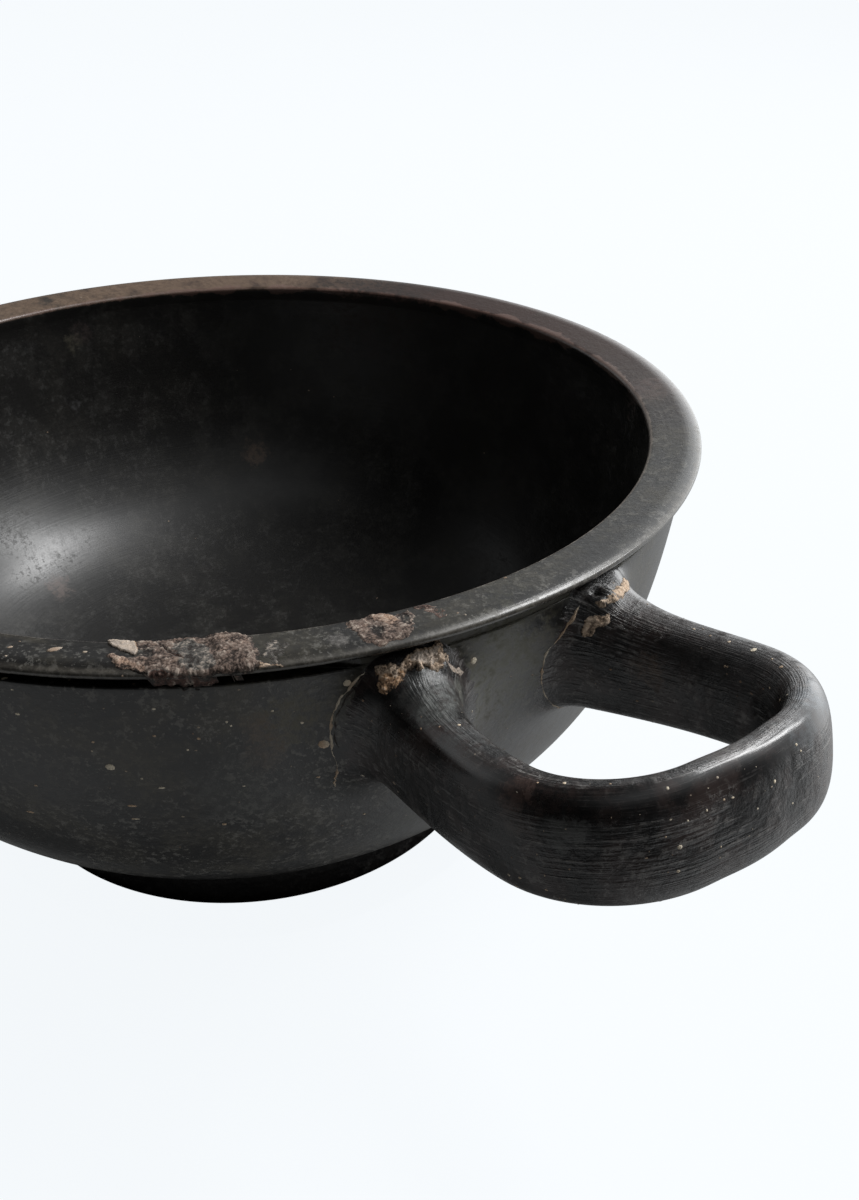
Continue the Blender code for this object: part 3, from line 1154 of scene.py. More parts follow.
@dataclass
class Crust:
    """A hard crust of lime and earth on the vessel's skin, in millimetres and degrees."""

    name: str
    centre: tuple[float, float, float]
    azimuth: float
    elevation: float
    zones: tuple[Zone, ...]
    spacing: float = 0.09
    ragged: float = 0.42
    lump_size: float = 0.52
    sunk: float = 0.20
    seed: int = 3
    margin: float = 1.1
    shelter: float = 0.55
    evenness: float = 0.3
    buried: float = 0.5
    clearance: float = 8.0
    steepest: float = 0.3
    barely_covered: float = 0.15
    sheltered_drop: float = 0.35
    outer_reach: float = 0.5

    def __post_init__(self) -> None:
        """Sets up the flat guide's three directions."""
        self.facing = np.array(direction(self.azimuth, self.elevation))
        self.along = np.array(direction(self.azimuth + 90.0, 0.0))
        self.up = np.cross(self.facing, self.along)

    def build(self, skin: BVHTree, finish: Material) -> Object:
        """Grows the crust on the skin.

        Args:
            skin: The vessel's search tree.
            finish: The crust's material.

        Returns:
            The crust as a closed shell whose lower side lies inside the wall.
        """
        corners = np.array([corner for zone in self.zones for corner in zone.outline])
        low, high = corners.min(axis=0) - self.margin, corners.max(axis=0) + self.margin
        steps = np.ceil((high - low) / self.spacing).astype(int)
        sides = [low[k] + np.arange(steps[k]) * self.spacing for k in range(2)]
        u, v = np.meshgrid(*sides, indexing="ij")
        depth, facing = self._feel(skin, u, v)
        seen = np.isfinite(depth)
        cover, proud, relief, tone = self._layers(u, v, self._place(u, v, np.where(seen, depth, 0.0)))
        filled = np.maximum(depth, blurred(depth, self.shelter / self.spacing))
        sheltered = (cover < self.barely_covered) & (filled - depth > self.sheltered_drop)
        depth = np.where(seen, depth + (filled - depth) * np.clip(cover, 0.0, 1.0), np.nan)
        parts = [blurred(facing[..., k], self.evenness / self.spacing) for k in range(3)]
        normal = unit_rows(np.stack(parts, -1))
        flat = self._place(u, v, np.where(seen, depth, 0.0))
        keep = self._kept_cells(seen & (cover > -self.outer_reach) & ~sheltered, depth, cover)
        crust = self._shell(flat + normal * proud[..., None], flat - normal * self.buried, keep, finish)
        for label, grid in (("relief", relief), ("tone", tone), ("inside", np.clip(cover, -1.0, 2.0))):
            store(crust.data, label, np.tile(grid[corners_of(keep)], 2))
        return crust

    def _place(self, u: np.ndarray, v: np.ndarray, depth: np.ndarray) -> np.ndarray:
        """Gives the places, in millimetres, of points on the guide."""
        start = np.array(self.centre)
        return start + u[..., None] * self.along + v[..., None] * self.up + depth[..., None] * self.facing

    def _feel(self, skin: BVHTree, u: np.ndarray, v: np.ndarray) -> tuple[np.ndarray, np.ndarray]:
        """Finds the skin under each point of the guide.

        Args:
            skin: The vessel's search tree.
            u: Places along the guide.
            v: Places up the guide.

        Returns:
            The skin's height above the guide, nan where there is none near, and its normals.
        """
        start = self._place(u, v, np.full(u.shape, self.clearance)) * MM
        inwards = Vector(-self.facing)
        depth = np.full(u.shape, np.nan)
        facing = np.zeros(u.shape + (3,))
        for cell in np.ndindex(*u.shape):
            spot, normal, _, distance = skin.ray_cast(Vector(start[cell]), inwards)
            if spot is not None and distance < 2.5 * self.clearance * MM:
                depth[cell] = self.clearance - distance / MM
                facing[cell] = normal
        return depth, facing

    def _layers(self, u: np.ndarray, v: np.ndarray, place: np.ndarray) -> tuple[np.ndarray, ...]:
        """Lays the zones over each other.

        Args:
            u: Places along the guide.
            v: Places up the guide.
            place: The skin's points under them, in millimetres.

        Returns:
            How far inside the crust each point is, its height, its lumps' share and its tone.
        """
        grain = Grain(self.seed)
        solid = place.reshape(-1, 3)
        wander = (grain.layered(solid, 1.5, 5) * self.ragged).reshape(u.shape)
        sizes = (self.lump_size, self.lump_size / 1.8)
        billows = sum(np.abs(grain.smooth(solid + 11.3 * i, sizes[i])) / 1.4**i for i in range(2))
        rubble = grain.layered(solid + 5.7, self.lump_size * 1.9, 3)
        rolls = np.clip(billows * 0.62 + rubble * 0.42 + 0.2, 0.0, 1.2).reshape(u.shape)
        swell = grain.smooth(solid + 31.0, 2.3).reshape(u.shape)
        cover = np.full(u.shape, -9.0)
        proud = np.full(u.shape, -self.sunk)
        tone = np.full(u.shape, self.zones[0].tone.value)
        for zone in self.zones:
            inside = depth_inside(u, v, zone.outline) + wander * min(1.0, 4.0 * zone.edge)
            cover = np.maximum(cover, inside)
            share = eased(inside, -0.6 * zone.edge, 1.4 * zone.edge)
            height = zone.proud * (1.0 + 0.3 * swell) + zone.lumps * (rolls - 0.45)
            proud = proud + (height - proud) * share
            tone = tone + (zone.tone.value - tone) * eased(inside, -0.08, 0.08)
        return cover, proud, rolls, tone

    def _kept_cells(self, kept: np.ndarray, depth: np.ndarray, cover: np.ndarray) -> np.ndarray:
        """Picks the cells that the shell is made of.

        Args:
            kept: Which points may be used.
            depth: The height of the points above the guide.
            cover: How far inside the crust they are.

        Returns:
            The cells with four usable corners and no bare step, none touching at a corner alone.
        """
        rows, columns = kept.shape[0] - 1, kept.shape[1] - 1
        corners = [(slice(i, i + rows), slice(k, k + columns)) for i, k in np.ndindex(2, 2)]
        heights = np.stack([np.where(kept, depth, 0.0)[corner] for corner in corners])
        bare = np.stack([cover[corner] for corner in corners]).max(axis=0) < 0.1
        step = heights.max(axis=0) - heights.min(axis=0) > self.steepest
        cells = np.all([kept[corner] for corner in corners], axis=0) & ~(bare & step)
        for _ in range(40):
            one = cells[:-1, :-1] & cells[1:, 1:] & ~cells[1:, :-1] & ~cells[:-1, 1:]
            other = ~cells[:-1, :-1] & ~cells[1:, 1:] & cells[1:, :-1] & cells[:-1, 1:]
            if not (one.any() or other.any()):
                break
            cells[:-1, :-1] &= ~one
            cells[1:, :-1] &= ~other
        return cells

    def _shell(self, top: np.ndarray, base: np.ndarray, cells: np.ndarray, finish: Material) -> Object:
        """Closes two grids of points into one shell.

        Args:
            top: The upper points, in millimetres.
            base: The lower points, in millimetres.
            cells: Which cells of the grids are kept.
            finish: The crust's material.

        Returns:
            The shell, in metres.
        """
        used = corners_of(cells)
        count = int(used.sum())
        number = np.full(used.shape, -1)
        number[used] = np.arange(count)
        i, k = np.nonzero(cells)
        quads = np.stack([number[i, k], number[i + 1, k], number[i + 1, k + 1], number[i, k + 1]], -1)
        faces = quads.tolist() + (quads[:, ::-1] + count).tolist()
        edges: dict[tuple[int, int], None] = {}
        for quad in quads.tolist():
            for first, second in zip(quad, quad[1:] + quad[:1]):
                if (second, first) in edges:
                    del edges[(second, first)]
                else:
                    edges[(first, second)] = None
        faces += [[second, first, first + count, second + count] for first, second in edges]
        points = np.concatenate([top[used], base[used]]) * MM
        crust = add_mesh(self.name, points.tolist(), [], faces, finish)
        crust.data.shade_smooth()
        return crust


@dataclass(frozen=True)
class Seam:
    """A thin raised line of lime along the joint of a root and the wall."""

    path: tuple[tuple[float, float], ...]
    girth: float = 0.15


@dataclass
class Speckles:
    """Small grains of lime and earth that sit on the glaze."""

    bowl: TurnedBowl
    vessel: Object
    skin: BVHTree
    sides: int = 8
    rings: int = 5
    flatness: float = 0.34
    shrink: float = 0.82
    roughness: float = 0.00016
    bump_size: float = 1.0 / 1900.0
    sunk: float = 0.08
    everywhere: float = 0.06
    more_outside: float = 0.75
    more_on_handle: float = 2.6

    def tree(self) -> NodeTree:
        """Builds the tree that sets a low uneven grain on every point.

        Returns:
            The tree. Each point carries its size, its stretch and two directions.
        """
        inputs = {"Flatness": "Float", "Unevenness": "Float", "Sides": "Int", "Rings": "Int"}
        bench, given = new_tree("grains_on_glaze", {**inputs, "Finish": "Material"})
        sphere = {"Segments": given["Sides"], "Rings": given["Rings"], "Radius": 1.0}
        size, stretch = bench.carried("size"), bench.carried("stretch")
        facing = {
            "Primary Axis": bench.carried("outwards", "FLOAT_VECTOR"),
            "Secondary Axis": bench.carried("lengthwise", "FLOAT_VECTOR"),
        }
        axes = {"primary_axis": "Z", "secondary_axis": "X"}
        grain = {
            "Points": bench.field("GeometryNodeMeshToPoints", {}, {"Mesh": given["Geometry"]}),
            "Instance": bench.field("GeometryNodeMeshUVSphere", {}, sphere),
            "Rotation": bench.field("FunctionNodeAxesToRotation", axes, facing),
            "Scale": bench.vector(size * stretch, size, size * given["Flatness"]),
        }
        placed = bench.field("GeometryNodeInstanceOnPoints", {}, grain)
        real = bench.field("GeometryNodeRealizeInstances", {}, {"Geometry": placed})
        bumps = bench.noise(bench.field("GeometryNodeInputPosition"), self.bump_size, 1.0)
        outwards = bench.field("GeometryNodeInputNormal")
        push = {0: outwards, "Scale": (bumps - 0.5) * given["Unevenness"]}
        shift = bench.field("ShaderNodeVectorMath", {"operation": "SCALE"}, push)
        rough = bench.field("GeometryNodeSetPosition", {}, {"Geometry": real, "Offset": shift})
        return bench.finished(rough, given["Finish"])

    def build(self, name: str, rows: list[tuple[float, ...]], finish: Material) -> Object:
        """Sets grains at given places.

        Args:
            name: The new piece's name.
            rows: For each grain its x, y, z, size and stretch, in millimetres.
            finish: The grains' material.

        Returns:
            The grains as one mesh.
        """
        spots, outwards, lengthwise = [], [], []
        for x, y, z, size, _ in rows:
            spot, normal, _, _ = self.skin.find_nearest(Vector((x, y, z)) * MM)
            level = Vector((0.0, 0.0, 1.0)).cross(normal)
            if level.length <= 0.3:
                level = Vector((-normal.y, normal.x, 0.0)) + Vector((0.0, 1.0, 0.0))
            spots.append(spot - normal * size * MM * self.sunk)
            outwards.append(normal)
            lengthwise.append(level.normalized())
        places = add_mesh(name + "_places", spots)
        store(places.data, "size", np.array([row[3] * MM * self.shrink for row in rows]))
        store(places.data, "stretch", np.array([row[4] for row in rows]))
        for label, values in (("outwards", outwards), ("lengthwise", lengthwise)):
            layer = places.data.attributes.new(label, "FLOAT_VECTOR", "POINT")
            layer.data.foreach_set("vector", np.array(values, dtype=np.float32).ravel())
        given = {
            "Flatness": self.flatness,
            "Unevenness": self.roughness,
            "Sides": self.sides,
            "Rings": self.rings,
            "Finish": finish,
        }
        return realised(places, self.tree(), given, name)

    def scattered(self, count: int, seed: int) -> list[tuple[float, ...]]:
        """Draws places for the finest grains, mostly on the outside and the handle.

        Args:
            count: How many there are.
            seed: What the draw starts from.

        Returns:
            One row for each grain, as build takes them.
        """
        source = np.random.default_rng(seed)
        polygons = self.vessel.data.polygons
        areas = np.array([polygon.area for polygon in polygons])
        middles = np.array([polygon.center for polygon in polygons])
        normals = np.array([polygon.normal for polygon in polygons])
        away = unit_rows(np.column_stack([middles[:, 0] - self.bowl.axis_x, middles[:, 1]]))
        outside = (normals[:, :2] * away).sum(axis=1) > 0.15
        radius, height = self.bowl.radius(middles), middles[:, 2]
        by_wall = (radius > 0.069) & (np.abs(middles[:, 1]) < 0.03) & (height < 0.0595)
        on_handle = (radius > 0.0715) | by_wall
        density = self.everywhere + self.more_outside * outside + self.more_on_handle * on_handle
        weight = areas * density * (height > 0.010)
        picks = source.choice(len(areas), size=count, p=weight / weight.sum())
        sizes = 0.055 + 0.10 * source.random(count) ** 3
        stretches = 1.0 + 1.2 * source.random(count) ** 2
        return [(*(middles[i] / MM), size, stretch) for i, size, stretch in zip(picks, sizes, stretches)]


@dataclass
class Seams:
    """The thin lime lines where the roots were pressed on the wall."""

    bowl: TurnedBowl
    skin: BVHTree
    lines: tuple[Seam, ...]
    sides: int = 6
    start_radius: float = 0.068
    spacing: float = 0.00016
    wander: float = 0.00022
    rounds: int = 60

    def tree(self) -> NodeTree:
        """Builds the tree that gives a path the thickness that its points carry."""
        bench, given = new_tree("lime_line", {"Sides": "Int", "Finish": "Material"})
        path = bench.field("GeometryNodeMeshToCurve", {}, {"Mesh": given["Geometry"]})
        ring = {"Resolution": given["Sides"], "Radius": 1.0}
        circle = bench.field("GeometryNodeCurvePrimitiveCircle", {}, ring)
        tube = {"Curve": path, "Profile Curve": circle, "Scale": bench.carried("girth"), "Fill Caps": True}
        return bench.finished(bench.field("GeometryNodeCurveToMesh", {}, tube), given["Finish"])

    def build(self, name: str, finish: Material, seed: int) -> Object:
        """Lays the lines on the skin.

        Args:
            name: The new piece's name.
            finish: The lines' material.
            seed: What their unevenness starts from.

        Returns:
            The lines as one mesh.
        """
        grain = Grain(seed)
        points, links, girths = [], [], []
        for line in self.lines:
            rough = np.array([self.bowl.place(turn, self.start_radius, z * MM) for turn, z in line.path])
            steps = lengths_along(rough)
            even = np.linspace(0.0, steps[-1], round(steps[-1] / self.spacing))
            spots = np.column_stack([np.interp(even, steps, column) for column in rough.T])
            wobble = np.column_stack([grain.layered(spots + 3.0 * k, 0.0022, 3) for k in range(3)])
            spots = np.column_stack([eased_along(column, self.rounds) for column in spots.T])
            spots += wobble * self.wander
            thick = np.clip(0.70 + 1.6 * grain.layered(spots + 9.0, 0.0016, 3), 0.10, 1.9)
            ends = np.minimum(np.arange(len(spots)), np.arange(len(spots))[::-1]) / 12.0
            links += [(k, k + 1) for k in range(len(points), len(points) + len(spots) - 1)]
            for i, spot in enumerate(spots):
                point, normal, _, _ = self.skin.find_nearest(Vector(spot))
                girth = line.girth * MM * thick[i] * min(1.0, 0.2 + ends[i])
                points.append(point - normal * girth * 0.45)
                girths.append(girth)
        paths = add_mesh(name + "_paths", points, links)
        store(paths.data, "girth", np.array(girths))
        return realised(paths, self.tree(), {"Sides": self.sides, "Finish": finish}, name)


@dataclass(frozen=True)
class ColourPatch:
    """A patch of another colour at one place on the vessel, in millimetres."""

    place: tuple[float, float, float]
    reach: float
    colour: tuple[float, float, float]
    share: float
    matt: float = 0.10

    def over(
        self, under: Field, rough: Field, spot: Field, wander: Field, flecks: Field
    ) -> tuple[Field, Field]:
        """Lays the patch over a colour.

        Args:
            under: The colour below.
            rough: The roughness below.
            spot: The place that is shaded.
            wander: Noise from 0 to 1 that makes the edge uneven.
            flecks: Finer noise that breaks the patch up.

        Returns:
            The colour with the patch laid over it, and its roughness.
        """
        bench, centre = spot.bench, tuple(value * MM for value in self.place)
        away = bench.field("ShaderNodeVectorMath", {"operation": "DISTANCE"}, {0: spot, 1: centre}, "Value")
        reach = self.reach * MM
        share = (away + (wander - 0.5) * (reach * 3.2)).step(reach, reach * 0.45) * self.share
        share = share * (flecks.step(0.40, 0.58) * 0.75 + 0.35)
        return bench.mix(share, under, (*self.colour, 1.0)), rough + share * self.matt


@dataclass(frozen=True)
class BlackGlaze:
    """A thin black glaze over dark clay, worn at the rim and filmed with lime, with painted light on the
    rim's outer lip and inner edge and painted shade under the foot.
    """

    bowl: TurnedBowl
    colour_patches: tuple[ColourPatch, ...]
    name: str = "black_glaze"
    black: Colour = (0.0090, 0.0085, 0.0080, 1.0)
    olive: Colour = (0.040, 0.035, 0.024, 1.0)
    film: Colour = (0.125, 0.120, 0.108, 1.0)
    clay: Colour = (0.125, 0.074, 0.060, 1.0)
    worn_rim: Colour = (0.036, 0.018, 0.014, 1.0)
    tan_rim: Colour = (0.135, 0.090, 0.060, 1.0)
    silt: Colour = (0.060, 0.056, 0.042, 1.0)
    # Painted highlight: a pale colour for the rim's inner edge on the near side.
    painted_edge_highlight: Colour = (0.230, 0.200, 0.175, 1.0)
    # Painted light: a paler colour for the rim's outer lip, in place of light.
    painted_lip_light: Colour = (0.092, 0.084, 0.072, 1.0)
    # Painted shade: a darker colour for the foot's underside, in place of the shade under the bowl.
    underside: Colour = (0.0055, 0.0042, 0.0046, 1.0)
    roughness: float = 0.29

    def material(self) -> Material:
        """Builds the material."""
        material, bench, shader = new_material(self.name)
        place = bench.place()
        surface = bench.surface()
        turned, down, _ = bench.split(surface)
        inner, outer, wall, foot = self.bowl.landmarks()
        outside = down.step(outer - 0.0002, outer + 0.0016)
        inside = down.step(inner, inner - 0.0006)
        on_rim = (1.0 - outside) * (1.0 - inside)
        clouds = bench.noise(place, 0.011, 7.0, 0.68)
        flecks = bench.noise(place, 0.0011, 4.0, 0.72)
        specks = bench.noise(place, 0.00055, 2.0, 0.6)
        patches = bench.noise(place, 0.0065, 5.0, 0.66)
        mottled = clouds.step(0.45, 0.62) * (flecks.step(0.38, 0.60) * 0.6 + 0.4)
        colour = bench.mix(mottled * (outside * 0.9 + on_rim * 0.6 + 0.12), self.black, self.olive)
        filmed = flecks.step(0.53, 0.60) * (patches.step(0.40, 0.58) * 0.80 + 0.12)
        filmed = filmed.most(specks.step(0.61, 0.67) * (patches.step(0.40, 0.54) * 0.80 + 0.20))
        haze = inside * patches.step(0.46, 0.62) * 0.06
        x, y, _ = bench.split(place)
        unseen = (x * -0.90 + y * 0.44).step(0.010, 0.055)
        filming = filmed * (outside * (0.76 - unseen * 0.48) + on_rim * 0.50 + 0.03) + haze
        colour = bench.mix(filming, colour, self.film)
        colour = self._worn(place, down.apart(inner), on_rim, flecks, patches, colour)
        # Painted light: the rim's outer lip is painted paler, standing in for light that falls on it.
        lip = down.apart(outer).step(0.0010, 0.0003) * (flecks.step(0.36, 0.60) * 0.5 + 0.3)
        colour = bench.mix(lip, colour, self.painted_lip_light)
        turn = turned / self.bowl.rim_radius
        silted = down.step(outer + 0.0010, outer + 0.0022) * down.step(wall + 0.0006, wall - 0.0002)
        silted = silted * turn.step(-0.38, -0.26) * turn.step(1.60, 1.36)
        silted = silted * (flecks.step(0.36, 0.52) * 0.5 + 0.5)
        colour = bench.mix(silted * 0.9, colour, self.silt)
        edge = down.apart(outer).step(0.0024, 0.0012)
        rough = self.roughness + filmed * 0.16 + mottled * 0.06 + silted * 0.3 - edge * 0.07
        wander = bench.noise(place, 0.0032, 6.0, 0.78)
        for overlay in self.colour_patches:
            colour, rough = overlay.over(colour, rough, place, wander, flecks)
        # Painted shade: the foot is painted darker, standing in for the shade that falls under the bowl.
        painted_foot_shade = down.step(foot - 0.0035, foot)
        colour = bench.mix(painted_foot_shade * 0.8, colour, self.underside)
        lines = bench.streaks(surface, 60.0, 2400.0, 2.0, 0.5)
        rough = rough + lines * 0.04
        coarse = bench.bump(lines, 0.000014, bench.bump(clouds * (outside * 0.9 + 0.1), 0.00016))
        normal = bench.bump(flecks * (1.0 - inside) * (1.0 - edge * 0.75), 0.00006, coarse)
        bench.fill(shader, {"Base Color": colour, "Roughness": rough, "Normal": normal})
        return material

    def _worn(
        self, place: Field, gap: Field, on_rim: Field, flecks: Field, patches: Field, colour: Field
    ) -> Field:
        """Wears the glaze off the rim's inner edge, most on the side away from the handle, and paints a pale
        highlight along that edge on the near side.

        Args:
            place: The place that is shaded.
            gap: How far it lies from the rim's inner edge.
            on_rim: How much of the place is the rim's top.
            flecks: Fine noise.
            patches: Coarse noise.
            colour: The colour below.

        Returns:
            The worn colour, with the painted highlight along the edge on the near side.
        """
        bench = place.bench
        x, away, _ = bench.split(place)
        across = x - self.bowl.axis_x
        back = (across * -0.45 + away * 0.89).step(0.012, 0.062)
        top = bench.mix(on_rim * back * (patches.step(0.22, 0.46) * 0.35 + 0.6), colour, self.worn_rim)
        left = (across * -0.97 + away * 0.25).step(0.044, 0.062) * patches.step(0.26, 0.50)
        top = bench.mix(on_rim * left * (flecks.step(0.3, 0.6) * 0.4 + 0.5), top, self.tan_rim)
        reach = back * ((patches - 0.5) * 0.0055 + 0.0004) + (flecks - 0.5) * 0.0006
        near = (gap - reach).step(0.00044, 0.00014)
        # Painted highlight on the near side of the inner edge; worn clay at the back and left.
        edge = bench.mix(back.most(left), self.painted_edge_highlight, self.clay)
        return bench.mix(near * (0.42 + patches * 0.5), top, edge)


@dataclass(frozen=True)
class StrapGlaze:
    """The handle's glaze: blacker, combed along the strap and rubbed brown, with a painted bluish highlight
    on the far corner.
    """

    colour_patches: tuple[ColourPatch, ...]
    name: str = "strap_black_glaze"
    black: Colour = (0.0085, 0.0080, 0.0082, 1.0)
    brown: Colour = (0.030, 0.021, 0.019, 1.0)
    dust: Colour = (0.150, 0.142, 0.134, 1.0)
    roughness: float = 0.27
    edge_round: float = 0.0052

    def material(self) -> Material:
        """Builds the material."""
        material, bench, shader = new_material(self.name)
        place = bench.place()
        surface = bench.surface()
        lines = bench.streaks(surface, 190.0, 3600.0, 2.5, 0.6)
        patches = bench.noise(place, 0.0055, 6.0, 0.68)
        flecks = bench.noise(place, 0.0009, 4.0, 0.72)
        where = bench.noise(place, 0.009, 3.0, 0.6)
        colour = bench.mix(patches.step(0.42, 0.60) * 0.9, self.black, self.brown)
        edge = bench.split(surface)[1].apart(self.edge_round).step(0.0034, 0.0014)
        plain = 1.0 - edge * 0.8
        level = 1.0 - edge * 0.95
        combing = lines.step(0.55, 0.62) * where.step(0.40, 0.54) * flecks.step(0.38, 0.54) * plain
        colour = bench.mix(combing * 0.74, colour, self.dust)
        dusty = flecks.step(0.55, 0.62) * (patches.step(0.42, 0.58) * 0.85 + 0.15) * plain
        colour = bench.mix(dusty * 0.66, colour, self.dust)
        rough = self.roughness + combing * 0.12 + dusty * 0.16 + patches.step(0.4, 0.6) * 0.05 - edge * 0.11
        wander = bench.noise(place, 0.0030, 6.0, 0.78)
        for overlay in self.colour_patches:
            colour, rough = overlay.over(colour, rough, place, wander, flecks)
        combs = bench.bump(lines * where.step(0.36, 0.56) * level, 0.00019)
        normal = bench.bump(flecks * level, 0.00013, combs)
        bench.fill(shader, {"Base Color": colour, "Roughness": rough, "Normal": normal})
        return material


@dataclass(frozen=True)
class CrustFinish:
    """Dry lime and earth, pale where it has flaked, with painted shade in its hollows and painted light on
    its lumps' tops.
    """

    name: str = "lime_crust"
    roughness: float = 0.88

    def material(self) -> Material:
        """Builds the material."""
        material, bench, shader = new_material(self.name)
        place = bench.place()
        tone, relief = bench.attribute("tone"), bench.attribute("relief")
        flecks = bench.noise(place, 0.00035, 4.0, 0.72)
        patches = bench.noise(place, 0.0014, 4.0, 0.65)
        stops = [
            (Tone.HOLLOW.value, (0.016, 0.014, 0.013, 1.0)),
            (Tone.DARK_EARTH.value, (0.085, 0.048, 0.038, 1.0)),
            (Tone.GREY_LIME.value, (0.075, 0.072, 0.066, 1.0)),
            (Tone.EARTH.value, (0.135, 0.098, 0.080, 1.0)),
            (Tone.ROSE_CLAY.value, (0.270, 0.185, 0.140, 1.0)),
            (Tone.RUST.value, (0.400, 0.245, 0.140, 1.0)),
            (Tone.SAND.value, (0.500, 0.380, 0.280, 1.0)),
            (Tone.PALE_CLAY.value, (0.40, 0.34, 0.29, 1.0)),
        ]
        place_on_ramp = tone + (patches - 0.5) * 0.22
        colour = bench.field("ShaderNodeValToRGB", {"stops": stops}, {0: place_on_ramp})
        # Painted light: the lumps' tops are painted paler, as where light falls on them.
        painted_top_light = (relief + (flecks - 0.5) * 1.2).step(0.50, 0.90)
        painted_top_colour = bench.mix(tone.step(0.66, 0.78), (0.44, 0.37, 0.31, 1.0), (0.60, 0.48, 0.37, 1.0))
        colour = bench.mix(painted_top_light * 0.55, colour, painted_top_colour)
        # Painted shade: the hollows between the lumps are painted darker, as where shade falls.
        dark = (relief + (flecks - 0.5) * 1.3).step(0.46, 0.20) * (1.0 - tone.step(0.65, 1.0) * 0.35)
        colour = bench.mix(dark * (1.0 - tone.step(0.9, 1.0)) * 0.85, colour, (0.020, 0.015, 0.013, 1.0))
        thin = (bench.attribute("inside") + (flecks - 0.5) * 1.1 + (patches - 0.5) * 0.9).step(0.46, 0.02)
        colour = bench.mix(thin * (1.0 - tone.step(0.9, 1.0) * 0.7), colour, (0.022, 0.019, 0.017, 1.0))
        normal = bench.bump(flecks, 0.00018)
        looks = {"Base Color": colour, "Normal": normal, "Roughness": self.roughness}
        bench.fill(shader, {**looks, "Specular IOR Level": 0.2})
        return material


@dataclass(frozen=True)
class GrainFinish:
    """Grains of lime and earth, tan to grey."""

    name: str
    pale: Colour = (0.33, 0.28, 0.22, 1.0)
    earth: Colour = (0.22, 0.145, 0.095, 1.0)
    roughness: float = 0.8

    def material(self) -> Material:
        """Builds the material."""
        material, bench, shader = new_material(self.name)
        place = bench.place()
        kinds = bench.noise(place, 0.0042, 1.0, 0.5)
        flecks = bench.noise(place, 0.00025, 3.0, 0.7)
        colour = bench.mix(kinds.step(0.42, 0.62), self.pale, self.earth)
        colour = bench.mix(flecks.step(0.50, 0.35) * 0.5, colour, (0.08, 0.06, 0.045, 1.0))
        normal = bench.bump(flecks, 0.00005)
        bench.fill(shader, {"Base Color": colour, "Normal": normal, "Roughness": self.roughness})
        return material


@dataclass(frozen=True)
class Softbox:
    """One soft lamp, set by the direction that it comes from."""

    name: str
    azimuth: float
    elevation: float
    distance: float
    width: float
    depth: float
    power: float
    colour: tuple[float, float, float] = (1.0, 1.0, 1.0)
    aim: tuple[float, float, float] = (0.0, 0.0, 0.03)

    def place(self) -> None:
        """Hangs the lamp and turns it to the vessel."""
        lamp = bpy.data.lights.new(self.name, "AREA")
        lamp.shape = "RECTANGLE"
        lamp.size, lamp.size_y = self.width, self.depth
        lamp.energy = self.power
        lamp.color = self.colour
        obj = add_object(self.name, lamp)
        away = Vector(direction(self.azimuth, self.elevation))
        obj.location = Vector(self.aim) + away * self.distance
        obj.rotation_euler = away.to_track_quat("Z", "Y").to_euler()


@dataclass(frozen=True)
class Glow:
    """One soft bright part of the room, set by its direction in degrees."""

    azimuth: float
    elevation: float
    strength: float


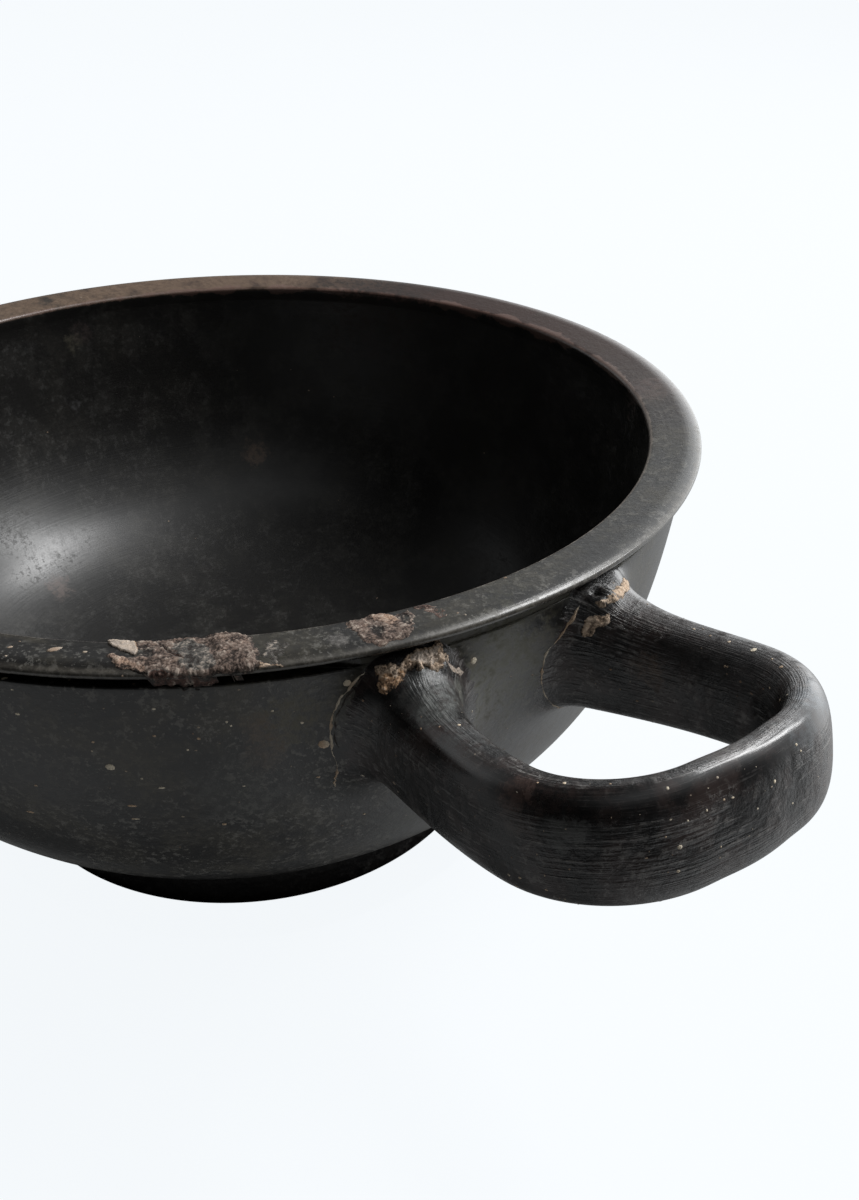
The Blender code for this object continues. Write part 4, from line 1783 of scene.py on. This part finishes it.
@dataclass
class Studio:
    """The pale floor, the soft light and the camera."""

    floor_reach: float = 4.0
    floor_glow: float = 0.95
    floor_paleness: float = 0.05
    floor_light: Colour = (0.94, 0.973, 1.0, 1.0)
    lens: float = 36.0
    camera_place: tuple[float, float, float] = (0.136477, -0.074817, 0.131150)
    camera_ahead: tuple[float, float, float] = (-0.690877, 0.505903, -0.516480)
    camera_up: tuple[float, float, float] = (-0.419560, 0.301223, 0.856290)
    softboxes: tuple[Softbox, ...] = (
        Softbox("window", 84.0, 54.0, 1.2, 0.50, 0.24, 8.0),
        Softbox("side_window", 68.0, 37.0, 1.2, 0.17, 0.42, 4.0),
    )
    tightness: float = 14.0
    shade_radius: float = 0.046
    shade_centre: tuple[float, float, float] = (-0.0176, 0.0, 0.0001)
    room_colour: Colour = (0.97, 0.99, 1.0, 1.0)
    glows: tuple[Glow, ...] = (
        Glow(72.6, 39.8, 2.6), Glow(112.0, 48.0, 0.70), Glow(160.0, 36.0, 0.14),
        Glow(112.7, 8.1, 3.256), Glow(80.2, -0.9, 2.262), Glow(150.0, -33.0, 0.9),
        Glow(-162.3, 11.7, 1.044), Glow(2.9, -47.3, 0.702), Glow(52.5, 63.0, 0.685),
        Glow(87.9, -42.2, 0.592), Glow(35.4, -35.3, 0.590), Glow(-32.5, 55.9, 0.432),
        Glow(55.5, -55.9, 0.390), Glow(20.1, 47.3, 0.325), Glow(-122.2, -17.3, 0.323),
        Glow(-49.6, -39.8, 0.307), Glow(-82.1, -52.8, 0.278), Glow(-102.1, -33.2, 0.242),
    )

    def camera(self) -> None:
        """Sets the camera at the photograph's viewpoint."""
        lens = bpy.data.cameras.new("camera")
        lens.lens = self.lens
        lens.sensor_width = 36.0
        lens.sensor_fit = "AUTO"
        lens.clip_start = 0.005
        ahead = Vector(self.camera_ahead).normalized()
        right = ahead.cross(Vector(self.camera_up)).normalized()
        axes = Matrix((right, right.cross(ahead), -ahead)).transposed().to_4x4()
        obj = add_object("camera", lens)
        obj.matrix_world = Matrix.Translation(Vector(self.camera_place)) @ axes
        bpy.context.scene.camera = obj

    def _laid(self, name: str, finish: str, corners: list[Any], looks: Sockets) -> Object:
        """Lays a flat piece of the studio.

        Args:
            name: The piece's name.
            finish: Its material's name.
            corners: Its corners.
            looks: What its material's inputs are set to.

        Returns:
            The piece.
        """
        material, bench, shader = new_material(finish)
        bench.fill(shader, {**looks, "Specular IOR Level": 0.0})
        obj = add_mesh(name, corners, [], [tuple(range(len(corners)))], material)
        return obj

    def floor(self) -> None:
        """Lays the plain pale floor."""
        reach = self.floor_reach
        looks = {
            "Base Color": grey(self.floor_paleness),
            "Roughness": 0.9,
            "Emission Color": self.floor_light,
            "Emission Strength": self.floor_glow,
        }
        corners = [(-reach, -reach, 0), (reach, -reach, 0), (reach, reach, 0), (-reach, reach, 0)]
        obj = self._laid("floor", "pale_floor", corners, looks)
        obj.visible_glossy = obj.visible_diffuse = False

    def contact_shade(self) -> None:
        """Lays the bowl's own dark shade on the floor, which only its foot and wall mirror."""
        x, y, z = self.shade_centre
        turns = [i * math.pi / 32 for i in range(64)]
        ring = [(x + math.cos(t) * self.shade_radius, y + math.sin(t) * self.shade_radius, z) for t in turns]
        obj = self._laid("contact_shade", "shade", ring, {"Base Color": grey(0.02), "Roughness": 1.0})
        obj.visible_camera = obj.visible_shadow = False

    def surroundings(self) -> None:
        """Fills the room with soft light from many sides."""
        world = bpy.data.worlds.new("room")
        bpy.context.scene.world = world
        world.use_nodes = True
        bench = Bench(world.node_tree)
        towards = bench.field("ShaderNodeTexCoord", {}, {}, "Generated")
        total: Any = 0.0
        for glow in self.glows:
            lamp = {0: towards, 1: direction(glow.azimuth, glow.elevation)}
            turn = bench.field("ShaderNodeVectorMath", {"operation": "DOT_PRODUCT"}, lamp, "Value")
            total = ((turn - 1.0) * self.tightness).power_of_e() * glow.strength + total
        bench.fill(world.node_tree.nodes["Background"], {"Strength": total, "Color": self.room_colour})

    def build(self) -> None:
        """Sets the whole studio."""
        self.camera()
        self.floor()
        self.contact_shade()
        self.surroundings()
        for softbox in self.softboxes:
            softbox.place()
        bpy.context.scene.view_settings.view_transform = "Standard"
        bpy.context.scene.view_settings.look = "None"


BOWL_STAINS = (
    ColourPatch((-65.2, 28.8, 30.7), 3.6, (0.105, 0.072, 0.052), 0.55),
    ColourPatch((-57.1, -17.7, 18.8), 3.2, (0.110, 0.078, 0.066), 0.50),
    ColourPatch((-80.0, 0.3, 55.8), 2.0, (0.062, 0.056, 0.040), 0.55),
    ColourPatch((-80.4, 2.0, 56.8), 2.6, (0.034, 0.024, 0.022), 0.50),
    ColourPatch((-78.1, -2.1, 44.1), 1.2, (0.045, 0.045, 0.045), 0.50),
    ColourPatch((-65.0, -10.8, 22.1), 5.0, (0.050, 0.050, 0.050), 0.50),
    ColourPatch((44.5, -25.9, 53.9), 5.0, (0.060, 0.052, 0.028), 0.75),
    ColourPatch((43.2, -28.5, 52.8), 3.2, (0.080, 0.055, 0.035), 0.55),
    ColourPatch((42.8, -28.0, 48.7), 3.0, (0.075, 0.052, 0.035), 0.50),
    ColourPatch((40.1, -30.8, 42.8), 7.0, (0.055, 0.055, 0.050), 0.55),
    ColourPatch((27.9, -47.5, 44.6), 6.0, (0.048, 0.047, 0.045), 0.45),
    ColourPatch((50.2, -1.8, 58.0), 6.0, (0.050, 0.048, 0.030), 0.65),
    ColourPatch((48.9, -3.3, 46.7), 4.0, (0.060, 0.042, 0.030), 0.50),
    ColourPatch((43.1, -9.3, 30.9), 7.0, (0.048, 0.053, 0.048), 0.50),
    ColourPatch((13.3, 56.8, 62.7), 5.0, (0.090, 0.062, 0.055), 0.50),
    ColourPatch((51.9, -8.8, 56.2), 1.7, (0.085, 0.085, 0.074), 0.75),
    ColourPatch((51.5, -7.5, 51.2), 2.0, (0.080, 0.080, 0.070), 0.60),
    ColourPatch((50.1, -5.6, 56.7), 0.9, (0.120, 0.085, 0.060), 0.80),
    ColourPatch((50.1, 4.2, 55.7), 3.0, (0.060, 0.052, 0.034), 0.60),
    ColourPatch((49.6, -1.0, 52.0), 9.0, (0.064, 0.062, 0.042), 0.80),
    ColourPatch((46.5, -20.8, 63.2), 1.5, (0.150, 0.140, 0.130), 0.70),
    ColourPatch((-57.0, 54.0, 63.0), 15.0, (0.016, 0.010, 0.008), 0.80, 0.0),
)
STRAP_STAINS_AND_HIGHLIGHTS = (
    ColourPatch((55.3, -15.0, 58.6), 5.0, (0.080, 0.084, 0.080), 0.75),
    ColourPatch((63.0, -16.1, 59.1), 4.0, (0.050, 0.052, 0.052), 0.70),
    ColourPatch((52.8, -17.9, 57.8), 3.6, (0.004, 0.004, 0.004), 0.85),
    ColourPatch((77.9, -17.6, 60.4), 4.0, (0.004, 0.004, 0.004), 0.80),
    ColourPatch((74.5, -19.7, 57.9), 2.2, (0.070, 0.056, 0.050), 0.60),
    ColourPatch((79.0, -17.7, 58.7), 2.2, (0.100, 0.100, 0.095), 0.55),
    ColourPatch((73.6, -19.0, 60.1), 2.2, (0.070, 0.042, 0.034), 0.65),
    ColourPatch((75.5, 13.4, 59.4), 2.4, (0.060, 0.060, 0.060), 0.50),
    ColourPatch((62.0, 12.7, 54.3), 3.0, (0.055, 0.045, 0.042), 0.60),
    # Painted highlight: these two bluish patches on the far corner's top stand in for the bluish reflection
    # there.
    ColourPatch((81.3, 12.8, 62.7), 3.4, (0.090, 0.105, 0.120), 0.60),
    ColourPatch((84.0, 7.3, 62.9), 3.0, (0.070, 0.078, 0.085), 0.50),
    ColourPatch((52.8, -9.4, 55.8), 2.0, (0.090, 0.090, 0.080), 0.80),
    ColourPatch((53.4, -9.6, 54.9), 1.8, (0.085, 0.085, 0.074), 0.70),
    ColourPatch((60.2, 12.3, 54.2), 2.4, (0.110, 0.080, 0.062), 0.70),
    ColourPatch((63.0, 17.0, 58.5), 6.5, (0.012, 0.010, 0.010), 0.85, 0.30),
    ColourPatch((70.0, 18.0, 59.5), 7.0, (0.012, 0.010, 0.010), 0.85, 0.30),
    ColourPatch((77.0, 18.0, 61.0), 5.0, (0.012, 0.010, 0.010), 0.70, 0.25),
    ColourPatch((57.5, 15.5, 61.0), 5.0, (0.014, 0.011, 0.010), 0.85, 0.32),
)
RIM_CRUST = Crust(
    "crust_on_front_rim", (40.1, -34.4, 63.2), -31.5, 45.0,
    (
        Zone(Tone.EARTH, 0.20, 0.26, (
            (-9.5, 2.6), (-6.3, 2.8), (-3.1, 2.8), (-0.3, 2.8), (2.0, 3.0), (4.9, 3.0), (6.0, 2.2),
            (6.2, 1.2), (7.1, 0.1), (7.3, -1.6), (5.8, -2.4), (2.9, -2.8), (1.4, -3.2), (-1.0, -3.2),
            (-2.9, -3.0), (-4.1, -2.6), (-5.3, -1.8), (-6.9, -1.2), (-8.4, 0.4), (-7.8, 0.8), (-6.9, 0.3),
            (-5.6, 0.0), (-5.2, 0.6), (-6.2, 1.2), (-7.6, 1.5), (-9.0, 2.2),
        )),
        Zone(Tone.SAND, 0.08, 0.20, (
            (6.8, -0.9), (7.9, -1.2), (9.3, -1.6), (9.6, -1.9), (8.3, -2.1), (6.9, -2.2),
        ), 0.3),
        Zone(Tone.GREY_LIME, 0.02, 0.09, (
            (7.1, 1.8), (8.4, 2.0), (10.2, 1.2), (9.9, -0.6), (8.6, -1.6), (7.0, -1.4),
        )),
        Zone(Tone.GREY_LIME, 0.26, 0.14, (
            (-2.1, 1.5), (0.0, 1.9), (1.4, 1.2), (2.6, -0.2), (2.8, -1.5), (1.5, -2.0), (0.0, -2.0),
            (-1.0, -1.1),
        ), 0.4),
        Zone(Tone.EARTH, 0.44, 0.28, (
            (1.4, 3.0), (4.9, 3.0), (6.1, 1.6), (7.2, -0.4), (7.2, -1.7), (6.0, -2.3), (4.0, -2.6),
            (3.0, -2.3), (2.8, -1.3), (1.9, 0.6),
        ), 0.8),
        Zone(Tone.ROSE_CLAY, 0.16, 0.30, (
            (-8.6, 0.5), (-7.2, 0.3), (-5.9, -0.5), (-4.8, -1.3), (-4.0, -1.7), (-3.9, -2.3), (-4.9, -1.9),
            (-6.1, -1.5), (-7.1, -0.8), (-8.0, 0.0),
        )),
        Zone(Tone.DARK_EARTH, 0.08, 0.24, (
            (-4.6, -2.1), (-2.3, -1.9), (0.2, -2.5), (2.8, -2.3), (2.7, -2.9), (1.4, -3.2), (-1.0, -3.2),
            (-2.9, -2.9),
        )),
        Zone(Tone.HOLLOW, 0.03, 0.10, (
            (-5.6, 1.2), (-4.8, 1.4), (-3.8, 0.9), (-3.4, 0.0), (-3.9, -0.5), (-5.0, -0.2),
        )),
        Zone(Tone.PALE_CLAY, 0.22, 0.12, (
            (-9.8, 2.7), (-8.1, 1.5), (-6.9, 0.75), (-5.6, 0.1), (-5.3, 0.8), (-5.8, 1.5), (-6.2, 2.4),
            (-7.5, 2.9), (-9.1, 2.95),
        ), 0.07),
        Zone(Tone.HOLLOW, 0.0, 0.05, (
            (-4.1, 2.4), (-3.0, 1.3), (-2.1, 0.5), (-1.2, -0.1), (-0.4, -0.6), (-0.5, -0.8), (-1.3, -0.3),
            (-2.2, 0.3), (-3.1, 1.1), (-4.2, 2.2),
        ), 0.06),
    ),
)
SECOND_RIM_CRUST = Crust(
    "crust_on_rim_by_root", (48.2, -15.9, 63.3), -12.5, 60.0,
    (
        Zone(Tone.EARTH, 0.10, 0.15, (
            (-2.9, 3.4), (0.4, 4.0), (2.2, 3.0), (4.6, 3.7), (4.6, 2.4), (3.0, -0.7), (2.2, -1.9),
            (0.3, -2.1), (-1.9, -1.9), (-3.1, -1.0), (-3.2, 1.7),
        )),
        Zone(Tone.DARK_EARTH, 0.0, 0.10, (
            (4.3, 3.6), (5.4, 3.9), (7.2, 4.1), (8.1, 1.8), (7.7, -0.3), (5.8, -0.4), (5.7, 1.3), (5.1, 2.2),
        ), 0.5),
        Zone(Tone.HOLLOW, 0.02, 0.08, (
            (-1.0, 1.6), (0.1, 1.2), (0.3, 0.3), (-0.1, -0.3), (-0.9, -0.5), (-1.3, 0.6),
        ), 0.2),
        Zone(Tone.HOLLOW, 0.0, 0.08, ((2.4, 2.6), (3.6, 2.9), (4.0, 1.9), (3.2, 0.7), (2.6, 0.9)), 0.2),
        Zone(Tone.ROSE_CLAY, 0.16, 0.14, (
            (0.0, 3.5), (1.2, 3.9), (2.3, 3.0), (2.3, 1.5), (1.2, 1.0), (0.1, 2.3),
        ), 0.08),
    ),
    seed=5,
)
NEAR_ROOT_CRUST = Crust(
    "crust_on_near_root", (50.4, -15.0, 59.9), -28.0, 35.0,
    (
        Zone(Tone.RUST, 0.20, 0.32, (
            (-3.5, 0.2), (-2.5, 0.7), (-1.3, 0.2), (-0.5, -0.2), (0.2, -0.8), (-0.1, -1.4), (-0.9, -2.4),
            (-2.2, -3.0), (-2.9, -2.7), (-3.1, -1.5),
        )),
        Zone(Tone.SAND, 0.32, 0.48, (
            (-0.2, 0.6), (1.3, 1.9), (2.8, 2.1), (4.0, 2.4), (4.4, 1.5), (4.8, 0.1), (3.5, -1.0), (2.0, -0.6),
            (0.5, -0.8), (-0.5, -0.2),
        )),
        Zone(Tone.PALE_CLAY, 0.12, 0.16, (
            (4.7, -0.1), (5.9, -0.4), (7.1, -0.9), (7.2, -1.5), (6.3, -1.6), (5.2, -1.0),
        )),
        Zone(Tone.PALE_CLAY, 0.34, 0.52, (
            (0.9, 0.4), (1.5, 1.2), (2.9, 1.5), (3.9, 1.6), (3.8, 0.4), (2.6, -0.4), (1.6, -0.1),
        ), 0.3),
        Zone(Tone.SAND, 0.28, 0.40, (
            (-3.4, 0.2), (-2.5, 0.6), (-1.6, 0.2), (-0.7, -0.4), (-0.9, -1.2), (-1.8, -1.0), (-2.8, -1.1),
        ), 0.3),
    ),
    lump_size=0.34,
    seed=8,
)
FAR_ROOT_CRUST = Crust(
    "crust_on_far_root", (52.1, 12.2, 59.2), -15.0, 35.0,
    (
        Zone(Tone.SAND, 0.12, 0.24, (
            (-3.6, -2.8), (-2.6, -1.7), (-1.3, -1.2), (0.2, -1.4), (0.3, -2.5), (-1.2, -3.2), (-2.3, -4.0),
            (-3.2, -4.0),
        )),
        Zone(Tone.SAND, 0.10, 0.22, (
            (-1.5, 0.0), (0.3, 0.6), (2.5, 1.5), (4.9, 2.5), (5.7, 1.4), (3.6, 0.1), (1.5, -0.5),
            (-0.3, -1.1), (-1.6, -1.1),
        )),
    ),
    seed=12,
)
SEAMS = (
    Seam((
        (-15.6, 59.0), (-17.2, 57.5), (-18.3, 55.6), (-19.0, 53.7), (-19.1, 50.0), (-18.9, 47.0),
        (-18.7, 41.4),
    ), 0.18),
    Seam((
        (9.1, 58.3), (6.0, 55.5), (4.4, 53.4), (4.0, 52.1), (4.0, 50.0), (4.4, 48.0), (6.0, 44.6),
        (8.0, 42.5),
    ), 0.19),
)
EARTH_SEAMS = (
    Seam(((-15.3, 58.9), (-16.8, 57.4), (-17.9, 55.5), (-18.6, 53.6), (-18.7, 50.2), (-18.5, 49.0)), 0.16),
)
BOWL_GRAINS: tuple[tuple[float, ...], ...] = (
    (33.6, -42.4, 48.1, 0.65, 1.1), (27.8, -48.7, 63.1, 0.32, 1.3), (30.7, -45.1, 63, 0.62, 1.9),
    (33.1, -42.8, 63, 0.30, 1.2), (44.9, -13.7, 62.6, 0.45, 1.1), (28.2, -49.5, 55.1, 0.28, 1.5),
    (44.9, -24.7, 53.3, 0.27, 1), (38.2, -38.3, 56.9, 0.20, 1.3), (31.9, -44.5, 59.5, 0.21, 1),
    (36.5, -39.4, 59.6, 0.21, 1), (38.9, -41.3, 62.7, 0.15, 1), (33.2, -43.6, 51.9, 0.16, 1.3),
    (32.8, -43.8, 50.5, 0.14, 1.5), (37.5, -38.4, 53, 0.19, 1.4), (39.9, -34.5, 52.4, 0.21, 1.3),
    (39, -35.5, 50.8, 0.17, 1.2), (41.7, -31.9, 54.6, 0.21, 1), (41.8, -31.5, 54, 0.16, 1),
    (35.3, -39.7, 46.3, 0.22, 1), (36.2, -37.9, 44.8, 0.19, 2.6), (26.3, -48.7, 43.7, 0.23, 1.2),
    (23.5, -49.3, 38.1, 0.29, 2.2), (33.3, -40.6, 41.5, 0.26, 2.8), (32.7, -40.2, 39, 0.21, 3.2),
    (40.8, -30.2, 44.4, 0.16, 1.8), (37.9, -31.8, 37.6, 0.25, 1.6), (44, -27.6, 55.5, 0.21, 1),
    (45.6, -22.6, 50, 0.27, 1), (47.5, -20.4, 58.1, 0.55, 1.2), (45.6, -22.5, 49.8, 0.85, 1),
    (47.4, -18.8, 44.8, 0.19, 1.8), (54.5, -19.3, 48.8, 0.15, 2.4), (44.3, -22.7, 44.4, 0.16, 1.8),
    (43.4, -16.2, 35, 0.25, 1.2), (27.9, -49.9, 59.7, 0.34, 1.4), (28.7, -49.6, 58.6, 0.16, 1.3),
    (49.6, -7.4, 63.2, 0.22, 1), (50.4, -7, 63.4, 0.16, 1), (45.8, 2.3, 62.5, 0.21, 1.6),
    (50.3, -5.6, 56.7, 0.55, 1.1), (60.8, -15.7, 58.7, 0.21, 1.2), (50.2, -5.5, 49.6, 0.17, 1),
    (29.5, -49.7, 63.4, 0.20, 1), (26.6, -47.3, 62.8, 0.16, 1),
)
STRAP_GRAINS: tuple[tuple[float, ...], ...] = (
    (76.4, -15.8, 61.9, 0.27, 1), (83.1, -9.8, 62.9, 0.22, 1), (84.5, -10.4, 60.6, 0.13, 1),
    (85.5, -10, 57.9, 0.28, 1.1), (84.3, -12.8, 57.2, 0.14, 1.6), (85.9, -10.2, 55.5, 0.21, 1.3),
    (84.7, -11.1, 59.1, 0.13, 1), (78, -18.9, 53.7, 0.14, 1), (74.3, -20, 51.5, 0.16, 1.2),
    (75.6, -19.7, 52, 0.15, 1.2), (74.8, -19.4, 50.1, 0.19, 1), (78.1, -18.7, 51.9, 0.18, 1),
    (77.1, -19.2, 55.7, 0.14, 1), (70.5, 16.4, 60.5, 0.38, 1.4), (67.2, 16.4, 59.8, 0.25, 1.1),
    (75.2, 15, 61.5, 0.26, 1), (73.4, 15.9, 61.1, 0.16, 1), (85, 5.3, 62, 0.21, 1.1),
    (85.4, 5.7, 61.3, 0.14, 1), (86.2, 1.2, 60.4, 0.23, 1), (85.8, -4, 60.8, 0.13, 2.4),
    (85.6, -5, 60.9, 0.13, 1.4), (86.7, -1.3, 58.8, 0.14, 1.3), (86.7, -5.8, 56.6, 0.13, 1),
    (85.5, -7, 60.6, 0.13, 1), (85.2, -9, 60.2, 0.13, 1), (86.9, 3.7, 57, 0.14, 1),
    (84.7, -6.3, 62.3, 0.13, 1), (68.8, 14.3, 58.3, 0.16, 1), (62.3, 16.3, 59, 0.22, 1),
    (79.5, -13.2, 62.6, 0.13, 1), (74.5, -17.3, 61.4, 0.13, 1), (69.1, 14.3, 58.4, 0.16, 1),
    (78, 11.8, 60.3, 0.20, 1), (79.1, 11.2, 61.8, 0.14, 1.4), (75.4, 13.4, 59.6, 0.17, 1.2),
    (84.5, -10.5, 60.6, 0.14, 1.6),
)


RIM_LEVEL = 61.5
FINE_GRAINS = 800


def report(obj: Object) -> None:
    """Logs how large a piece is."""
    triangles = sum(len(polygon.vertices) - 2 for polygon in obj.data.polygons)
    log.info("%s: %d triangles", obj.name, triangles)


def main() -> None:
    """Builds the studio, the vessel and what has grown on it, in order."""
    logging.basicConfig(level=logging.INFO, format="%(name)s: %(message)s")
    Studio().build()
    bowl = TurnedBowl()
    handle = StrapHandle(bowl)
    glaze = BlackGlaze(bowl, BOWL_STAINS).material()
    strap_glaze = StrapGlaze(STRAP_STAINS_AND_HIGHLIGHTS).material()
    vessel = Vessel(bowl, handle).build(glaze, strap_glaze)
    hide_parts(NODE)
    skin = search_tree(vessel.data)
    crust_finish = CrustFinish().material()
    pieces = [vessel]
    for crust in (RIM_CRUST, SECOND_RIM_CRUST, NEAR_ROOT_CRUST, FAR_ROOT_CRUST):
        pieces.append(crust.build(skin, crust_finish))
    pale_line = GrainFinish("lime_line", (0.48, 0.42, 0.33, 1.0), (0.34, 0.24, 0.16, 1.0)).material()
    dark_line = GrainFinish("earth_line", (0.016, 0.012, 0.010, 1.0), (0.024, 0.017, 0.013, 1.0)).material()
    pieces.append(Seams(bowl, skin, SEAMS).build("lime_lines_at_roots", pale_line, 4))
    pieces.append(Seams(bowl, skin, EARTH_SEAMS).build("earth_line_at_near_root", dark_line, 9))
    rim_grain = GrainFinish("rim_grains").material()
    wall_grain = GrainFinish("wall_grains", (0.62, 0.55, 0.43, 1.0), (0.46, 0.33, 0.22, 1.0)).material()
    speckles = Speckles(bowl, vessel, skin)
    for name, rows, finish in (
        ("grains_on_rim", [row for row in BOWL_GRAINS if row[2] > RIM_LEVEL], rim_grain),
        ("grains_on_wall", [row for row in BOWL_GRAINS if row[2] <= RIM_LEVEL], wall_grain),
        ("grains_on_handle", list(STRAP_GRAINS), wall_grain),
        ("fine_grains_on_glaze", speckles.scattered(FINE_GRAINS, 21), rim_grain),
    ):
        pieces.append(speckles.build(name, rows, finish))
    for piece in pieces:
        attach(piece, "root")
        report(piece)


if __name__ == "__main__":
    main()
